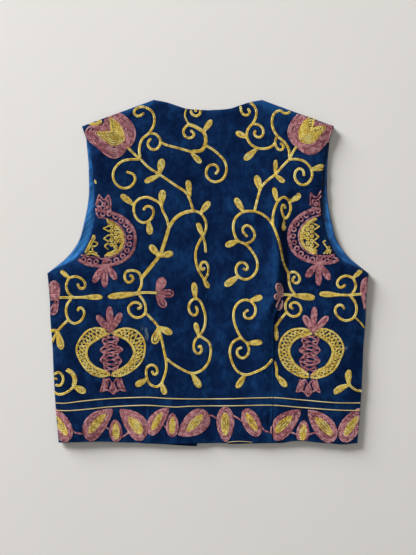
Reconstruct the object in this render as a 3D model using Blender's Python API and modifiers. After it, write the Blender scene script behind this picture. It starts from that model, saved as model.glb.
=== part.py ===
"""Sleeveless lined velvet waistcoat, laid flat with its back upwards.

The two fronts lie face down on the surface, each with its lining showing along the armhole.
The back lies on them: a centre panel between two side panels, joined by long curved seams.
The right seam carries a soft raised fold. All sizes are in metres, +Z points up, +Y to the neck.
"""

import math
from collections import namedtuple

import bmesh
import bpy

# Driving dimensions
GARMENT_HALF_LENGTH = 0.2518
CHEST_HALF_WIDTH = 0.2332
HEM_HALF_WIDTH = 0.2170
SHOULDER_HALF_WIDTH = 0.1830
SHOULDER_Y = 0.2131
NECK_HALF_WIDTH = 0.0787
NECK_DIP_Y = 0.2371
BACK_HEM_Y = -0.2464
UNDERARM_Y = 0.0004
RIGHT_TIP_Y = 0.1250
LEFT_TIP_Y = 0.1318

# Walls: velvet with its own lining, face down fronts, satin band, and the gaps between pieces
BACK_WALL = 0.0028
FRONT_WALL = 0.0020
LINING_WALL = 0.0010
SEAM_GAP = 0.0004
REST_GAP = 0.0003

# Fronts: where each edge of the open middle lies, and how far the straight edges reach up
LEFT_FRONT_EDGE_X = 0.0160
RIGHT_FRONT_EDGE_X = 0.0292
VEE_Y = 0.0610
LINING_INSET = 0.0010
LINING_BAND = 0.0270

# Relief of the back, measured on its under side
BACK_CLEARANCE = 0.0004
LINING_REACH = 0.0330
LINING_FADE = 0.0150
SIDE_PUFF = 0.0013
SIDE_PUFF_AT = 0.0200
SIDE_PUFF_FADE = 0.0900
MIDDLE_SAG = 0.0015
MIDDLE_SAG_WIDTH = 0.0240
GROOVE_DEPTH = 0.0005
GROOVE_WIDTH = 0.0090
FOLD_CREST_IN = 0.0130
FOLD_SPREAD = 0.0150
SEAM_STRIP = 0.0025
HEM_WAVE_REACH = 0.0600

# Grid counts
CENTRE_COLUMNS = 26
SIDE_COLUMNS = 11
FRONT_COLUMNS = 8
LINING_COLUMNS = 2
SKIRT_ROWS = 13
ARMHOLE_ROWS = 14
SKIRT_TOP_Y = -0.0300
YOKE_ROWS = 10
FRONT_ARMHOLE_ROWS = 18
LINING_ROWS = 20
CURVE_SAMPLES = 10

Point = namedtuple("Point", "x y")
Height = namedtuple("Height", "y height")
Wave = namedtuple("Wave", "height length angle phase")
Finish = namedtuple("Finish", "red green blue roughness")

# Half outlines, from the hem upwards
SIDE_SEAM = (
    Point(HEM_HALF_WIDTH, BACK_HEM_Y),
    Point(0.2216, -0.1919),
    Point(0.2245, -0.1396),
    Point(0.2260, -0.1046),
    Point(0.2289, -0.0696),
    Point(0.2300, -0.0346),
    Point(CHEST_HALF_WIDTH, UNDERARM_Y),
)
BACK_ARMHOLE = (
    Point(CHEST_HALF_WIDTH, UNDERARM_Y),
    Point(0.2162, 0.0062),
    Point(0.1953, 0.0164),
    Point(0.1825, 0.0288),
    Point(0.1735, 0.0456),
    Point(0.1691, 0.0587),
    Point(0.1653, 0.0776),
    Point(0.1647, 0.1041),
    Point(0.1655, 0.1262),
    Point(0.1677, 0.1531),
    Point(0.1720, 0.1797),
    Point(0.1764, 0.1928),
    Point(SHOULDER_HALF_WIDTH, SHOULDER_Y),
)
FRONT_ARMHOLE = (
    Point(CHEST_HALF_WIDTH, UNDERARM_Y),
    Point(0.2201, 0.0106),
    Point(0.2063, 0.0221),
    Point(0.1961, 0.0341),
    Point(0.1888, 0.0456),
    Point(0.1844, 0.0571),
    Point(0.1815, 0.0691),
    Point(0.1764, 0.0921),
    Point(0.1735, 0.1151),
    Point(0.1735, 0.1391),
    Point(0.1742, 0.1621),
    Point(0.1764, 0.1851),
    Point(0.1775, 0.1971),
    Point(SHOULDER_HALF_WIDTH, SHOULDER_Y),
)
LEFT_SEAM = (
    Point(0.0875, BACK_HEM_Y),
    Point(0.0925, -0.1500),
    Point(0.0977, -0.0390),
    Point(0.1006, 0.0190),
    Point(0.1035, 0.0485),
    Point(0.1080, 0.0800),
    Point(0.1150, 0.1010),
    Point(0.1250, 0.1165),
    Point(0.1370, 0.1262),
    Point(0.1500, LEFT_TIP_Y),
    Point(0.1660, 0.1340),
)
RIGHT_SEAM = (
    Point(0.0933, BACK_HEM_Y),
    Point(0.0945, -0.1580),
    Point(0.0955, -0.0680),
    Point(0.0991, -0.0560),
    Point(0.1093, -0.0310),
    Point(0.1144, 0.0190),
    Point(0.1137, 0.0700),
    Point(0.1150, 0.0920),
    Point(0.1200, 0.1060),
    Point(0.1290, 0.1170),
    Point(0.1410, 0.1228),
    Point(0.1520, RIGHT_TIP_Y),
    Point(0.1655, 0.1262),
)
BACK_TOP = (
    Point(0.0, NECK_DIP_Y),
    Point(0.0300, 0.2391),
    Point(0.0450, 0.2436),
    Point(0.0600, 0.2484),
    Point(NECK_HALF_WIDTH, GARMENT_HALF_LENGTH),
)

# How far the hem drops below or lifts above its mean line, across the back
HEM_WAVE = (
    Point(-0.2170, 0.0004),
    Point(-0.1600, 0.0018),
    Point(-0.1100, 0.0002),
    Point(-0.0700, -0.0012),
    Point(-0.0200, -0.0008),
    Point(0.0400, -0.0003),
    Point(0.0900, 0.0004),
    Point(0.1350, 0.0030),
    Point(0.1700, -0.0002),
    Point(0.1950, -0.0022),
    Point(0.2170, -0.0006),
)

# Hems of the two fronts, which peep out a little below the back near the middle
LEFT_FRONT_HEM = (
    Point(LEFT_FRONT_EDGE_X, -0.2518),
    Point(0.0875, -0.2482),
    Point(0.1200, -0.2440),
    Point(HEM_HALF_WIDTH, -0.2440),
)
RIGHT_FRONT_HEM = (
    Point(RIGHT_FRONT_EDGE_X, -0.2486),
    Point(0.1050, -0.2474),
    Point(0.1350, -0.2425),
    Point(HEM_HALF_WIDTH, -0.2440),
)

# The raised fold beside the right seam, and how much of it stands at the very edge
FOLD_HEIGHT = (
    Height(-0.2464, 0.0003),
    Height(-0.1900, 0.0006),
    Height(-0.1340, 0.0014),
    Height(-0.0970, 0.0028),
    Height(-0.0600, 0.0035),
    Height(0.0200, 0.0034),
    Height(0.0650, 0.0026),
    Height(0.1050, 0.0008),
    Height(0.1350, 0.0),
)
FOLD_EDGE_SHARE = (
    Height(-0.2464, 0.80),
    Height(-0.0600, 0.80),
    Height(-0.0350, 0.10),
    Height(0.1350, 0.0),
)

# Slow uneven waves of the back
BACK_WAVES = (
    Wave(0.00034, 0.128, 0.35, 0.8),
    Wave(0.00026, 0.091, 1.75, 2.1),
    Wave(0.00022, 0.157, 2.70, 4.0),
)

VELVET = Finish(0.0040, 0.0150, 0.0590, 0.86)
VELVET_FRONT = Finish(0.0035, 0.0130, 0.0500, 0.88)
SATIN = Finish(0.0190, 0.1300, 0.3300, 0.46)


def ease(value):
    """Smooth step from 0 to 1, held outside that range."""
    t = min(max(value, 0.0), 1.0)
    return t * t * (3.0 - 2.0 * t)


def smooth_line(points):
    """Samples a smooth curve through the points, with each tangent taken from its neighbours."""
    knots = [0.0]
    for before, after in zip(points, points[1:]):
        knots.append(knots[-1] + math.dist(before, after))
    last = len(points) - 1
    tangents = []
    for i in range(len(points)):
        low = max(i - 1, 0)
        high = min(i + 1, last)
        span = knots[high] - knots[low]
        run = Point(points[high].x - points[low].x, points[high].y - points[low].y)
        tangents.append(Point(run.x / span, run.y / span))
    line = []
    for i in range(last):
        span = knots[i + 1] - knots[i]
        for step in range(CURVE_SAMPLES):
            t = step / CURVE_SAMPLES
            from_start = 2 * t**3 - 3 * t**2 + 1
            to_end = 3 * t**2 - 2 * t**3
            leave = (t**3 - 2 * t**2 + t) * span
            arrive = (t**3 - t**2) * span
            line.append(Point(
                from_start * points[i].x + to_end * points[i + 1].x
                + leave * tangents[i].x + arrive * tangents[i + 1].x,
                from_start * points[i].y + to_end * points[i + 1].y
                + leave * tangents[i].y + arrive * tangents[i + 1].y,
            ))
    line.append(points[-1])
    return line


def read_table(table, key):
    """Reads a table of two columns at the key, easing between its rows."""
    if key <= table[0][0]:
        return table[0][1]
    for before, after in zip(table, table[1:]):
        if key <= after[0]:
            share = ease((key - before[0]) / (after[0] - before[0]))
            return before[1] + share * (after[1] - before[1])
    return table[-1][1]


def x_at_level(line, y):
    """Reads a line that climbs all the way: its x at the height y."""
    if y <= line[0].y:
        return line[0].x
    for before, after in zip(line, line[1:]):
        if y <= after.y:
            share = (y - before.y) / max(after.y - before.y, 1e-9)
            return before.x + share * (after.x - before.x)
    return line[-1].x


def stretch(line, y_from, y_to, count):
    """Takes count + 1 points along a climbing line between two levels, evenly spaced along it."""
    inner = [p for p in line if y_from < p.y < y_to]
    run = [Point(x_at_level(line, y_from), y_from), *inner, Point(x_at_level(line, y_to), y_to)]
    length = sum(math.dist(a, b) for a, b in zip(run, run[1:]))
    picked = [run[0]]
    walked = 0.0
    for before, after in zip(run, run[1:]):
        step = math.dist(before, after)
        while len(picked) < count and walked + step >= length * len(picked) / count:
            share = (length * len(picked) / count - walked) / step
            picked.append(Point(
                before.x + share * (after.x - before.x),
                before.y + share * (after.y - before.y),
            ))
        walked += step
    picked.append(run[-1])
    return picked


def join_stretches(*stretches):
    """Joins stretches that share their end points."""
    joined = list(stretches[0])
    for following in stretches[1:]:
        joined.extend(following[1:])
    return joined


def shift_inwards(points, distance):
    """Moves a climbing line towards the middle of the garment, square to itself."""
    moved = []
    for i, point in enumerate(points):
        before = points[max(i - 1, 0)]
        after = points[min(i + 1, len(points) - 1)]
        run = math.dist(before, after)
        moved.append(Point(
            point.x - distance * (after.y - before.y) / run,
            point.y + distance * (after.x - before.x) / run,
        ))
    return moved


SIDE_LINE = smooth_line(SIDE_SEAM)
BACK_ARMHOLE_LINE = smooth_line(BACK_ARMHOLE)
FRONT_ARMHOLE_LINE = smooth_line(FRONT_ARMHOLE)
LEFT_SEAM_LINE = smooth_line(LEFT_SEAM)
RIGHT_SEAM_LINE = smooth_line(RIGHT_SEAM)
TOP_LINE = smooth_line(BACK_TOP)


def distance_to(line, x, y):
    """Distance from a point to the nearest stretch of a line."""
    nearest = math.inf
    for start, end in zip(line, line[1:]):
        run_x = end.x - start.x
        run_y = end.y - start.y
        along = ((x - start.x) * run_x + (y - start.y) * run_y) / (run_x**2 + run_y**2)
        along = min(max(along, 0.0), 1.0)
        nearest = min(nearest, math.hypot(start.x + along * run_x - x, start.y + along * run_y - y))
    return nearest


def back_top_y(x):
    """Upper edge of the back: the dipped neckline, then the sloping shoulder."""
    side = abs(x)
    if side >= NECK_HALF_WIDTH:
        share = (side - NECK_HALF_WIDTH) / (SHOULDER_HALF_WIDTH - NECK_HALF_WIDTH)
        return GARMENT_HALF_LENGTH + share * (SHOULDER_Y - GARMENT_HALF_LENGTH)
    for before, after in zip(TOP_LINE, TOP_LINE[1:]):
        if side <= after.x:
            share = (side - before.x) / (after.x - before.x)
            return before.y + share * (after.y - before.y)
    return GARMENT_HALF_LENGTH


def front_edge_x(y, straight_x):
    """Half distance from the middle to a front's edge, straight and then slanting to the neck."""
    if y <= VEE_Y:
        return straight_x
    share = (y - VEE_Y) / (GARMENT_HALF_LENGTH - VEE_Y)
    return straight_x + share * (NECK_HALF_WIDTH - straight_x)


def lining_lift(x, y):
    """Extra height where the back lies on the satin band along the armhole."""
    near = distance_to(FRONT_ARMHOLE_LINE, abs(x), y)
    return (LINING_WALL + REST_GAP) * ease(1.0 - (near - LINING_REACH) / LINING_FADE)


def side_puff(x, y):
    """Soft swelling a little way in from the side seam and the armhole."""
    near = min(distance_to(SIDE_LINE, abs(x), y), distance_to(FRONT_ARMHOLE_LINE, abs(x), y))
    rise = ease(near / SIDE_PUFF_AT)
    fall = ease(1.0 - (near - SIDE_PUFF_AT) / SIDE_PUFF_FADE)
    return SIDE_PUFF * rise * fall


def middle_sag(x, y):
    """Drop of the back between the edges of the fronts, where nothing lies under it."""
    straight_x = LEFT_FRONT_EDGE_X if x < 0 else RIGHT_FRONT_EDGE_X
    inside = front_edge_x(y, straight_x) - abs(x)
    return MIDDLE_SAG * ease(inside / MIDDLE_SAG_WIDTH)


def seam_groove(x, y):
    """Shallow groove along both long seams."""
    off = distance_to(LEFT_SEAM_LINE if x < 0.0 else RIGHT_SEAM_LINE, abs(x), y)
    return GROOVE_DEPTH * ease(1.0 - off / GROOVE_WIDTH)


def raised_fold(x, y):
    """Raised fold of the centre panel beside its right seam, steep towards the seam."""
    inside = x_at_level(RIGHT_SEAM_LINE, y) - x
    if inside < 0.0:
        return 0.0
    height = read_table(FOLD_HEIGHT, y)
    edge_share = read_table(FOLD_EDGE_SHARE, y)
    if inside < FOLD_CREST_IN:
        climb = ease((inside - SEAM_STRIP) / (FOLD_CREST_IN - SEAM_STRIP))
        return height * (edge_share + (1.0 - edge_share) * climb)
    return height * math.exp(-(((inside - FOLD_CREST_IN) / FOLD_SPREAD) ** 2))


def slow_waves(x, y):
    """Sum of the slow waves, never below zero."""
    total = 0.0
    for wave in BACK_WAVES:
        along = x * math.cos(wave.angle) + y * math.sin(wave.angle)
        total += wave.height * (1.0 + math.sin(2.0 * math.pi * along / wave.length + wave.phase))
    return total


def back_underside(x, y):
    """Height of the under side of the back above the surface it all lies on."""
    level = FRONT_WALL + BACK_CLEARANCE
    rise = lining_lift(x, y) + side_puff(x, y) + slow_waves(x, y)
    return level + rise - middle_sag(x, y) - min(seam_groove(x, y), rise)


def centre_underside(x, y):
    """As the back, with the raised fold on the right."""
    return back_underside(x, y) + raised_fold(x, y)


def on_surface(x, y):
    """Fronts lie flat on the surface."""
    return 0.0


def on_front(x, y):
    """The satin band lies on the wrong side of the front."""
    return FRONT_WALL + REST_GAP


def drop_hem(x, y):
    """Moves points near the hem by the hem's own wave."""
    fade = ease(1.0 - (y - BACK_HEM_Y) / HEM_WAVE_REACH)
    return y + fade * read_table(HEM_WAVE, x)


def make_material(name, finish):
    """Plain finish of one piece."""
    material = bpy.data.materials.new(name)
    material.use_nodes = True
    shader = material.node_tree.nodes["Principled BSDF"]
    shader.inputs["Base Color"].default_value = (finish.red, finish.green, finish.blue, 1.0)
    shader.inputs["Roughness"].default_value = finish.roughness
    shader.inputs["Metallic"].default_value = 0.0
    material.diffuse_color = (finish.red, finish.green, finish.blue, 1.0)
    return material


def make_panel(collection, name, columns, rows, place, underside, wall, finish):
    """Shapes a plain grid into a panel by its placing function, then gives it its wall."""
    grid = bmesh.new()
    bmesh.ops.create_grid(grid, x_segments=columns, y_segments=rows, size=0.5)
    for vertex in grid.verts:
        column = round((vertex.co.x + 0.5) * columns)
        row = round((vertex.co.y + 0.5) * rows)
        spot = place(column, row)
        vertex.co = (spot.x, spot.y, underside(spot.x, spot.y))
    bmesh.ops.recalc_face_normals(grid, faces=grid.faces)
    if sum(face.normal.z for face in grid.faces) < 0.0:
        bmesh.ops.reverse_faces(grid, faces=grid.faces)
    mesh = bpy.data.meshes.new(name)
    grid.to_mesh(mesh)
    grid.free()
    panel = bpy.data.objects.new(name, mesh)
    collection.objects.link(panel)
    mesh.materials.append(make_material("cloth_" + name, finish))
    solidify = panel.modifiers.new("wall", "SOLIDIFY")
    solidify.thickness = wall
    solidify.offset = 1.0
    return panel


def centre_share(column):
    """Share of the half width at which a column lies: one column falls at the neck point."""
    half = CENTRE_COLUMNS // 2
    step = abs(column - half)
    neck_share = NECK_HALF_WIDTH / (SHOULDER_HALF_WIDTH - SEAM_STRIP)
    neck_step = half // 2
    if step <= neck_step:
        return neck_share * step / neck_step
    return neck_share + (1.0 - neck_share) * (step - neck_step) / (half - 1 - neck_step)


def seam_points(line, tip_y):
    """Points of a long seam that the centre panel and a side panel share, up to the tip."""
    return join_stretches(
        stretch(line, BACK_HEM_Y, SKIRT_TOP_Y, SKIRT_ROWS),
        stretch(line, SKIRT_TOP_Y, tip_y, ARMHOLE_ROWS),
    )


def make_back_centre(collection):
    """Centre panel of the back, from the hem to the neckline and shoulders."""
    edges = []
    for line, tip_y in ((LEFT_SEAM_LINE, LEFT_TIP_Y), (RIGHT_SEAM_LINE, RIGHT_TIP_Y)):
        yoke = stretch(BACK_ARMHOLE_LINE, line[-1].y, SHOULDER_Y, YOKE_ROWS)
        edges.append(seam_points(line, tip_y) + yoke)
    rows = len(edges[0]) - 1
    yoke_row = rows - YOKE_ROWS

    def place(column, row):
        across = 2.0 * column / CENTRE_COLUMNS - 1.0
        side = edges[0] if across < 0.0 else edges[1]
        if abs(across) == 1.0:
            half_width = side[row].x
            share = 1.0
        else:
            half_width = side[row].x - SEAM_STRIP
            share = centre_share(column)
        x = math.copysign(share * half_width, across)
        ends = [edge[row].y for edge in edges]
        y = 0.5 * ((1.0 - across) * ends[0] + (1.0 + across) * ends[1])
        if row > yoke_row:
            starts = [edge[yoke_row].y for edge in edges]
            climbs = [(end - start) / (SHOULDER_Y - start) for end, start in zip(ends, starts)]
            start_y = 0.5 * ((1.0 - across) * starts[0] + (1.0 + across) * starts[1])
            climb = 0.5 * ((1.0 - across) * climbs[0] + (1.0 + across) * climbs[1])
            y = (1.0 - climb) * start_y + climb * back_top_y(x)
        return Point(x, drop_hem(x, y))

    return make_panel(
        collection, "back_centre", CENTRE_COLUMNS, rows, place, centre_underside, BACK_WALL, VELVET
    )


def make_back_side(collection, name, side, line, tip_y):
    """Side panel of the back, from the hem up to a narrow tip at the armhole."""
    inner = shift_inwards(seam_points(line, tip_y), -SEAM_GAP)
    outer = join_stretches(
        stretch(SIDE_LINE, BACK_HEM_Y, UNDERARM_Y, SKIRT_ROWS),
        stretch(BACK_ARMHOLE_LINE, UNDERARM_Y, line[-1].y - 2 * SEAM_GAP, ARMHOLE_ROWS),
    )

    def place(column, row):
        strip = min(SEAM_STRIP / (outer[row].x - inner[row].x), 1.0 / SIDE_COLUMNS)
        share = strip + (1.0 - strip) * (column - 1) / (SIDE_COLUMNS - 1) if column else 0.0
        x = side * (inner[row].x + share * (outer[row].x - inner[row].x))
        y = inner[row].y + share * (outer[row].y - inner[row].y)
        return Point(x, drop_hem(x, y))

    rows = len(inner) - 1
    return make_panel(collection, name, SIDE_COLUMNS, rows, place, back_underside, BACK_WALL, VELVET)


def make_front(collection, name, side, hem):
    """Front, face down on the surface, with its straight edge and slanting neck."""
    straight_x = hem[0].x
    outer = join_stretches(
        stretch(SIDE_LINE, BACK_HEM_Y, UNDERARM_Y, SKIRT_ROWS),
        stretch(FRONT_ARMHOLE_LINE, UNDERARM_Y, SHOULDER_Y, FRONT_ARMHOLE_ROWS),
    )
    rows = len(outer) - 1
    vee_row = SKIRT_ROWS + FRONT_ARMHOLE_ROWS // 3

    def place(column, row):
        if row <= vee_row:
            inner_y = hem[0].y + (VEE_Y - hem[0].y) * row / vee_row
        else:
            inner_y = VEE_Y + (GARMENT_HALF_LENGTH - VEE_Y) * (row - vee_row) / (rows - vee_row)
        inner_x = front_edge_x(inner_y, straight_x)
        share = column / FRONT_COLUMNS
        x = inner_x + share * (outer[row].x - inner_x)
        y = inner_y + share * (outer[row].y - inner_y)
        if row == 0:
            y = read_table(hem, x)
        return Point(side * x, y)

    return make_panel(collection, name, FRONT_COLUMNS, rows, place, on_surface, FRONT_WALL, VELVET_FRONT)


def make_lining_band(collection, name, side):
    """Satin lining of a front where it shows, a band along the armhole."""
    edge = stretch(FRONT_ARMHOLE_LINE, UNDERARM_Y, SHOULDER_Y, LINING_ROWS)
    outer = shift_inwards(edge, LINING_INSET)
    inner = shift_inwards(edge, LINING_INSET + LINING_BAND)

    def place(column, row):
        share = column / LINING_COLUMNS
        x = inner[row].x + share * (outer[row].x - inner[row].x)
        y = inner[row].y + share * (outer[row].y - inner[row].y)
        return Point(side * x, y)

    rows = len(edge) - 1
    return make_panel(collection, name, LINING_COLUMNS, rows, place, on_front, LINING_WALL, SATIN)


def main():
    """Clears the scene and makes every piece of the waistcoat."""
    for old in list(bpy.data.objects):
        bpy.data.objects.remove(old, do_unlink=True)
    collection = bpy.data.collections.new("waistcoat")
    bpy.context.scene.collection.children.link(collection)
    make_front(collection, "front_left", -1.0, LEFT_FRONT_HEM)
    make_front(collection, "front_right", 1.0, RIGHT_FRONT_HEM)
    make_lining_band(collection, "front_lining_left", -1.0)
    make_lining_band(collection, "front_lining_right", 1.0)
    make_back_side(collection, "back_side_left", -1.0, LEFT_SEAM_LINE, LEFT_TIP_Y)
    make_back_side(collection, "back_side_right", 1.0, RIGHT_SEAM_LINE, RIGHT_TIP_Y)
    make_back_centre(collection)


main()
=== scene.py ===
"""Looks of an embroidered velvet waistcoat that lies flat with its back upwards.

The cloth panels repeat the cut and the heights of the solids on a finer grid. The embroidery is chain
stitch, one loop modelled once and copied along rows that are worked out from short tables of stems,
leaves, flowers and fruit. Motifs are placed by pixels of the photograph, turned to metres by spot().
"""

import logging
import math
from dataclasses import dataclass, field
from enum import Enum
from typing import Any, Sequence

import bmesh
import bpy
import numpy as np
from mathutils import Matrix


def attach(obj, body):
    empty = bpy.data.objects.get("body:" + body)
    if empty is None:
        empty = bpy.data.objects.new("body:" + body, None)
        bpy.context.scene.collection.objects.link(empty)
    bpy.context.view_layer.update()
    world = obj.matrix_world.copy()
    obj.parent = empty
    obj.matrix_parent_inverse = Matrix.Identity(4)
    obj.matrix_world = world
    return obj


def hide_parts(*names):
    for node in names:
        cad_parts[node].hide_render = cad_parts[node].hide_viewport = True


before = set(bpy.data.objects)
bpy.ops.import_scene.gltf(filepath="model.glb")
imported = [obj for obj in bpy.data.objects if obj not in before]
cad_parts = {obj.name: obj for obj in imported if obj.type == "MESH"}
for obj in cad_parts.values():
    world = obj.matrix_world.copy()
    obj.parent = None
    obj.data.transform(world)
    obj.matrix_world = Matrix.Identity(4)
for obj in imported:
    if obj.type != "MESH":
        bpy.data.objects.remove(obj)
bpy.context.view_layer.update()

log = logging.getLogger("waistcoat")

Spot = tuple[float, float]
Array = np.ndarray

# The photograph's frame: the garment's real length spread over its pixels
METRES_PER_PIXEL = 0.0014577
MIDDLE_PIXEL = (208.0, 273.25)
PHOTO_WIDTH = 416
PHOTO_HEIGHT = 555

# The cut, in metres, as in the solids
GARMENT_HALF_LENGTH = 0.2518
HEM_HALF_WIDTH = 0.2170
SHOULDER_HALF_WIDTH = 0.1830
SHOULDER_Y = 0.2131
NECK_HALF_WIDTH = 0.0787
BACK_HEM_Y = -0.2464
UNDERARM_Y = 0.0004
SKIRT_TOP_Y = -0.0300
LEFT_TIP_Y = 0.1318
RIGHT_TIP_Y = 0.1250
LEFT_FRONT_EDGE_X = 0.0160
RIGHT_FRONT_EDGE_X = 0.0292
VEE_Y = 0.0610
HEM_WAVE_REACH = 0.0600

SIDE_SEAM = (
    (HEM_HALF_WIDTH, BACK_HEM_Y), (0.2216, -0.1919), (0.2245, -0.1396), (0.2260, -0.1046),
    (0.2289, -0.0696), (0.2300, -0.0346), (0.2332, UNDERARM_Y),
)
BACK_ARMHOLE = (
    (0.2332, UNDERARM_Y), (0.2162, 0.0062), (0.1953, 0.0164), (0.1825, 0.0288), (0.1735, 0.0456),
    (0.1691, 0.0587), (0.1653, 0.0776), (0.1647, 0.1041), (0.1655, 0.1262), (0.1677, 0.1531),
    (0.1720, 0.1797), (0.1764, 0.1928), (SHOULDER_HALF_WIDTH, SHOULDER_Y),
)
FRONT_ARMHOLE = (
    (0.2332, UNDERARM_Y), (0.2201, 0.0106), (0.2063, 0.0221), (0.1961, 0.0341), (0.1888, 0.0456),
    (0.1844, 0.0571), (0.1815, 0.0691), (0.1764, 0.0921), (0.1735, 0.1151), (0.1735, 0.1391),
    (0.1742, 0.1621), (0.1764, 0.1851), (0.1775, 0.1971), (SHOULDER_HALF_WIDTH, SHOULDER_Y),
)
LEFT_SEAM = (
    (0.0875, BACK_HEM_Y), (0.0925, -0.1500), (0.0977, -0.0390), (0.1006, 0.0190), (0.1035, 0.0485),
    (0.1080, 0.0800), (0.1150, 0.1010), (0.1250, 0.1165), (0.1370, 0.1262), (0.1500, LEFT_TIP_Y),
    (0.1660, 0.1340),
)
RIGHT_SEAM = (
    (0.0933, BACK_HEM_Y), (0.0945, -0.1580), (0.0955, -0.0680), (0.0991, -0.0560), (0.1093, -0.0310),
    (0.1144, 0.0190), (0.1137, 0.0700), (0.1150, 0.0920), (0.1200, 0.1060), (0.1290, 0.1170),
    (0.1410, 0.1228), (0.1520, RIGHT_TIP_Y), (0.1655, 0.1262),
)
BACK_TOP = (
    (0.0, 0.2371), (0.0300, 0.2391), (0.0450, 0.2436), (0.0600, 0.2484),
    (NECK_HALF_WIDTH, GARMENT_HALF_LENGTH),
)
HEM_WAVE = (
    (-0.2170, 0.0004), (-0.1600, 0.0018), (-0.1100, 0.0002), (-0.0700, -0.0012), (-0.0200, -0.0008),
    (0.0400, -0.0003), (0.0900, 0.0004), (0.1350, 0.0030), (0.1700, -0.0002), (0.1950, -0.0022),
    (0.2170, -0.0006),
)
LEFT_FRONT_HEM = (
    (LEFT_FRONT_EDGE_X, -0.2518), (0.0875, -0.2482), (0.1200, -0.2440), (HEM_HALF_WIDTH, -0.2440),
)
RIGHT_FRONT_HEM = (
    (RIGHT_FRONT_EDGE_X, -0.2486), (0.1050, -0.2474), (0.1350, -0.2425), (HEM_HALF_WIDTH, -0.2440),
)

# Height of the raised fold beside the right seam, in metres, from the hem upwards
FOLD_HEIGHT = (
    (-0.2464, 0.0009), (-0.1900, 0.0014), (-0.1340, 0.0022), (-0.0970, 0.0034), (-0.0600, 0.0046),
    (0.0200, 0.0046), (0.0650, 0.0036), (0.1050, 0.0012), (0.1350, 0.0),
)
FOLD_EDGE_SHARE = ((-0.2464, 0.50), (-0.0600, 0.62), (-0.0350, 0.10), (0.1350, 0.0))


def spot(px: float, py: float) -> Array:
    """Turns a pixel of the photograph to metres on the garment.

    Args:
        px: Pixel from the left.
        py: Pixel from the top.

    Returns:
        The x and y of the place.
    """
    return np.array(((px - MIDDLE_PIXEL[0]), (MIDDLE_PIXEL[1] - py))) * METRES_PER_PIXEL


def spots(points: Sequence[Spot]) -> Array:
    """Turns several pixels of the photograph to metres."""
    return np.array([spot(*point) for point in points])


def ease(value: Array) -> Array:
    """Smooth step from 0 to 1, held outside that range."""
    share = np.clip(value, 0.0, 1.0)
    return share * share * (3.0 - 2.0 * share)


def read_table(table: Sequence[Spot], key: Array) -> Array:
    """Reads a table of two columns, easing between its rows.

    Args:
        table: Rows of key and value, with rising keys.
        key: Where it is read.

    Returns:
        The values there.
    """
    keys, values = np.array(table).T
    row = np.clip(np.searchsorted(keys, key) - 1, 0, len(keys) - 2)
    share = ease((key - keys[row]) / (keys[row + 1] - keys[row]))
    return values[row] + share * (values[row + 1] - values[row])


def smooth_points(points: Sequence[Spot] | Array, samples: int = 10) -> Array:
    """Samples a smooth line through the points, each tangent taken from its neighbours.

    Args:
        points: The points that the line passes.
        samples: Steps between two points.

    Returns:
        The sampled line, a row for each point.
    """
    fixed = np.asarray(points, dtype=float)
    gaps = np.hypot(*np.diff(fixed, axis=0).T)
    knots = np.concatenate(([0.0], np.cumsum(gaps)))
    order = np.arange(len(fixed))
    low = np.maximum(order - 1, 0)
    high = np.minimum(order + 1, len(fixed) - 1)
    tangents = (fixed[high] - fixed[low]) / (knots[high] - knots[low])[:, None]
    share = np.arange(samples)[:, None] / samples
    sampled = []
    for i, gap in enumerate(gaps):
        sampled.append(
            (2 * share**3 - 3 * share**2 + 1) * fixed[i]
            + (3 * share**2 - 2 * share**3) * fixed[i + 1]
            + (share**3 - 2 * share**2 + share) * gap * tangents[i]
            + (share**3 - share**2) * gap * tangents[i + 1]
        )
    return np.vstack((*sampled, fixed[-1:]))


def evenly(line: Array, count: int) -> Array:
    """Takes count + 1 points along a line, evenly spaced along it."""
    walked = np.concatenate(([0.0], np.cumsum(np.hypot(*np.diff(line, axis=0).T))))
    wanted = np.linspace(0.0, walked[-1], count + 1)
    return np.column_stack([np.interp(wanted, walked, line[:, axis]) for axis in (0, 1)])


def beside(line: Array, distance: float) -> Array:
    """Moves a line to its left by the distance, square to itself."""
    order = np.arange(len(line))
    run = line[np.minimum(order + 1, len(line) - 1)] - line[np.maximum(order - 1, 0)]
    run /= np.maximum(np.hypot(*run.T), 1e-9)[:, None]
    return line + distance * np.column_stack((-run[:, 1], run[:, 0]))


class Line:
    """A smooth line of the cut, from the hem upwards."""

    def __init__(self, points: Sequence[Spot]) -> None:
        """Samples the line through the points."""
        self.points = smooth_points(points)

    def x_at(self, y: Array) -> Array:
        """Reads the line's x at a height."""
        return np.interp(y, self.points[:, 1], self.points[:, 0])

    def distance(self, x: Array, y: Array) -> Array:
        """Measures how far places are from the line.

        Args:
            x: Places across.
            y: Places along.

        Returns:
            The distance of each, in metres.
        """
        places = np.column_stack((np.ravel(x), np.ravel(y)))
        nearest = np.full(len(places), np.inf)
        for start, end in zip(self.points, self.points[1:]):
            run = end - start
            off = places - start
            share = np.clip(off @ run / (run @ run), 0.0, 1.0)
            nearest = np.minimum(nearest, np.hypot(*(off - share[:, None] * run).T))
        return nearest.reshape(np.shape(x))

    def stretch(self, low: float, high: float, count: int) -> Array:
        """Takes count + 1 points between two levels, evenly spaced along the line."""
        inner = self.points[(self.points[:, 1] > low) & (self.points[:, 1] < high)]
        ends = [[float(self.x_at(level)), level] for level in (low, high)]
        return evenly(np.vstack((ends[:1], inner, ends[1:])), count)


@dataclass(frozen=True)
class Crease:
    """A soft ridge or trough of the back: its ends in photo pixels, half width and height in metres."""

    start: Spot
    end: Spot
    width: float
    height: float


@dataclass(frozen=True)
class Brush:
    """A stroke of lighter or darker colour: ends and half width in photo pixels."""

    start: Spot
    end: Spot
    width: float
    shade: float


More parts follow.
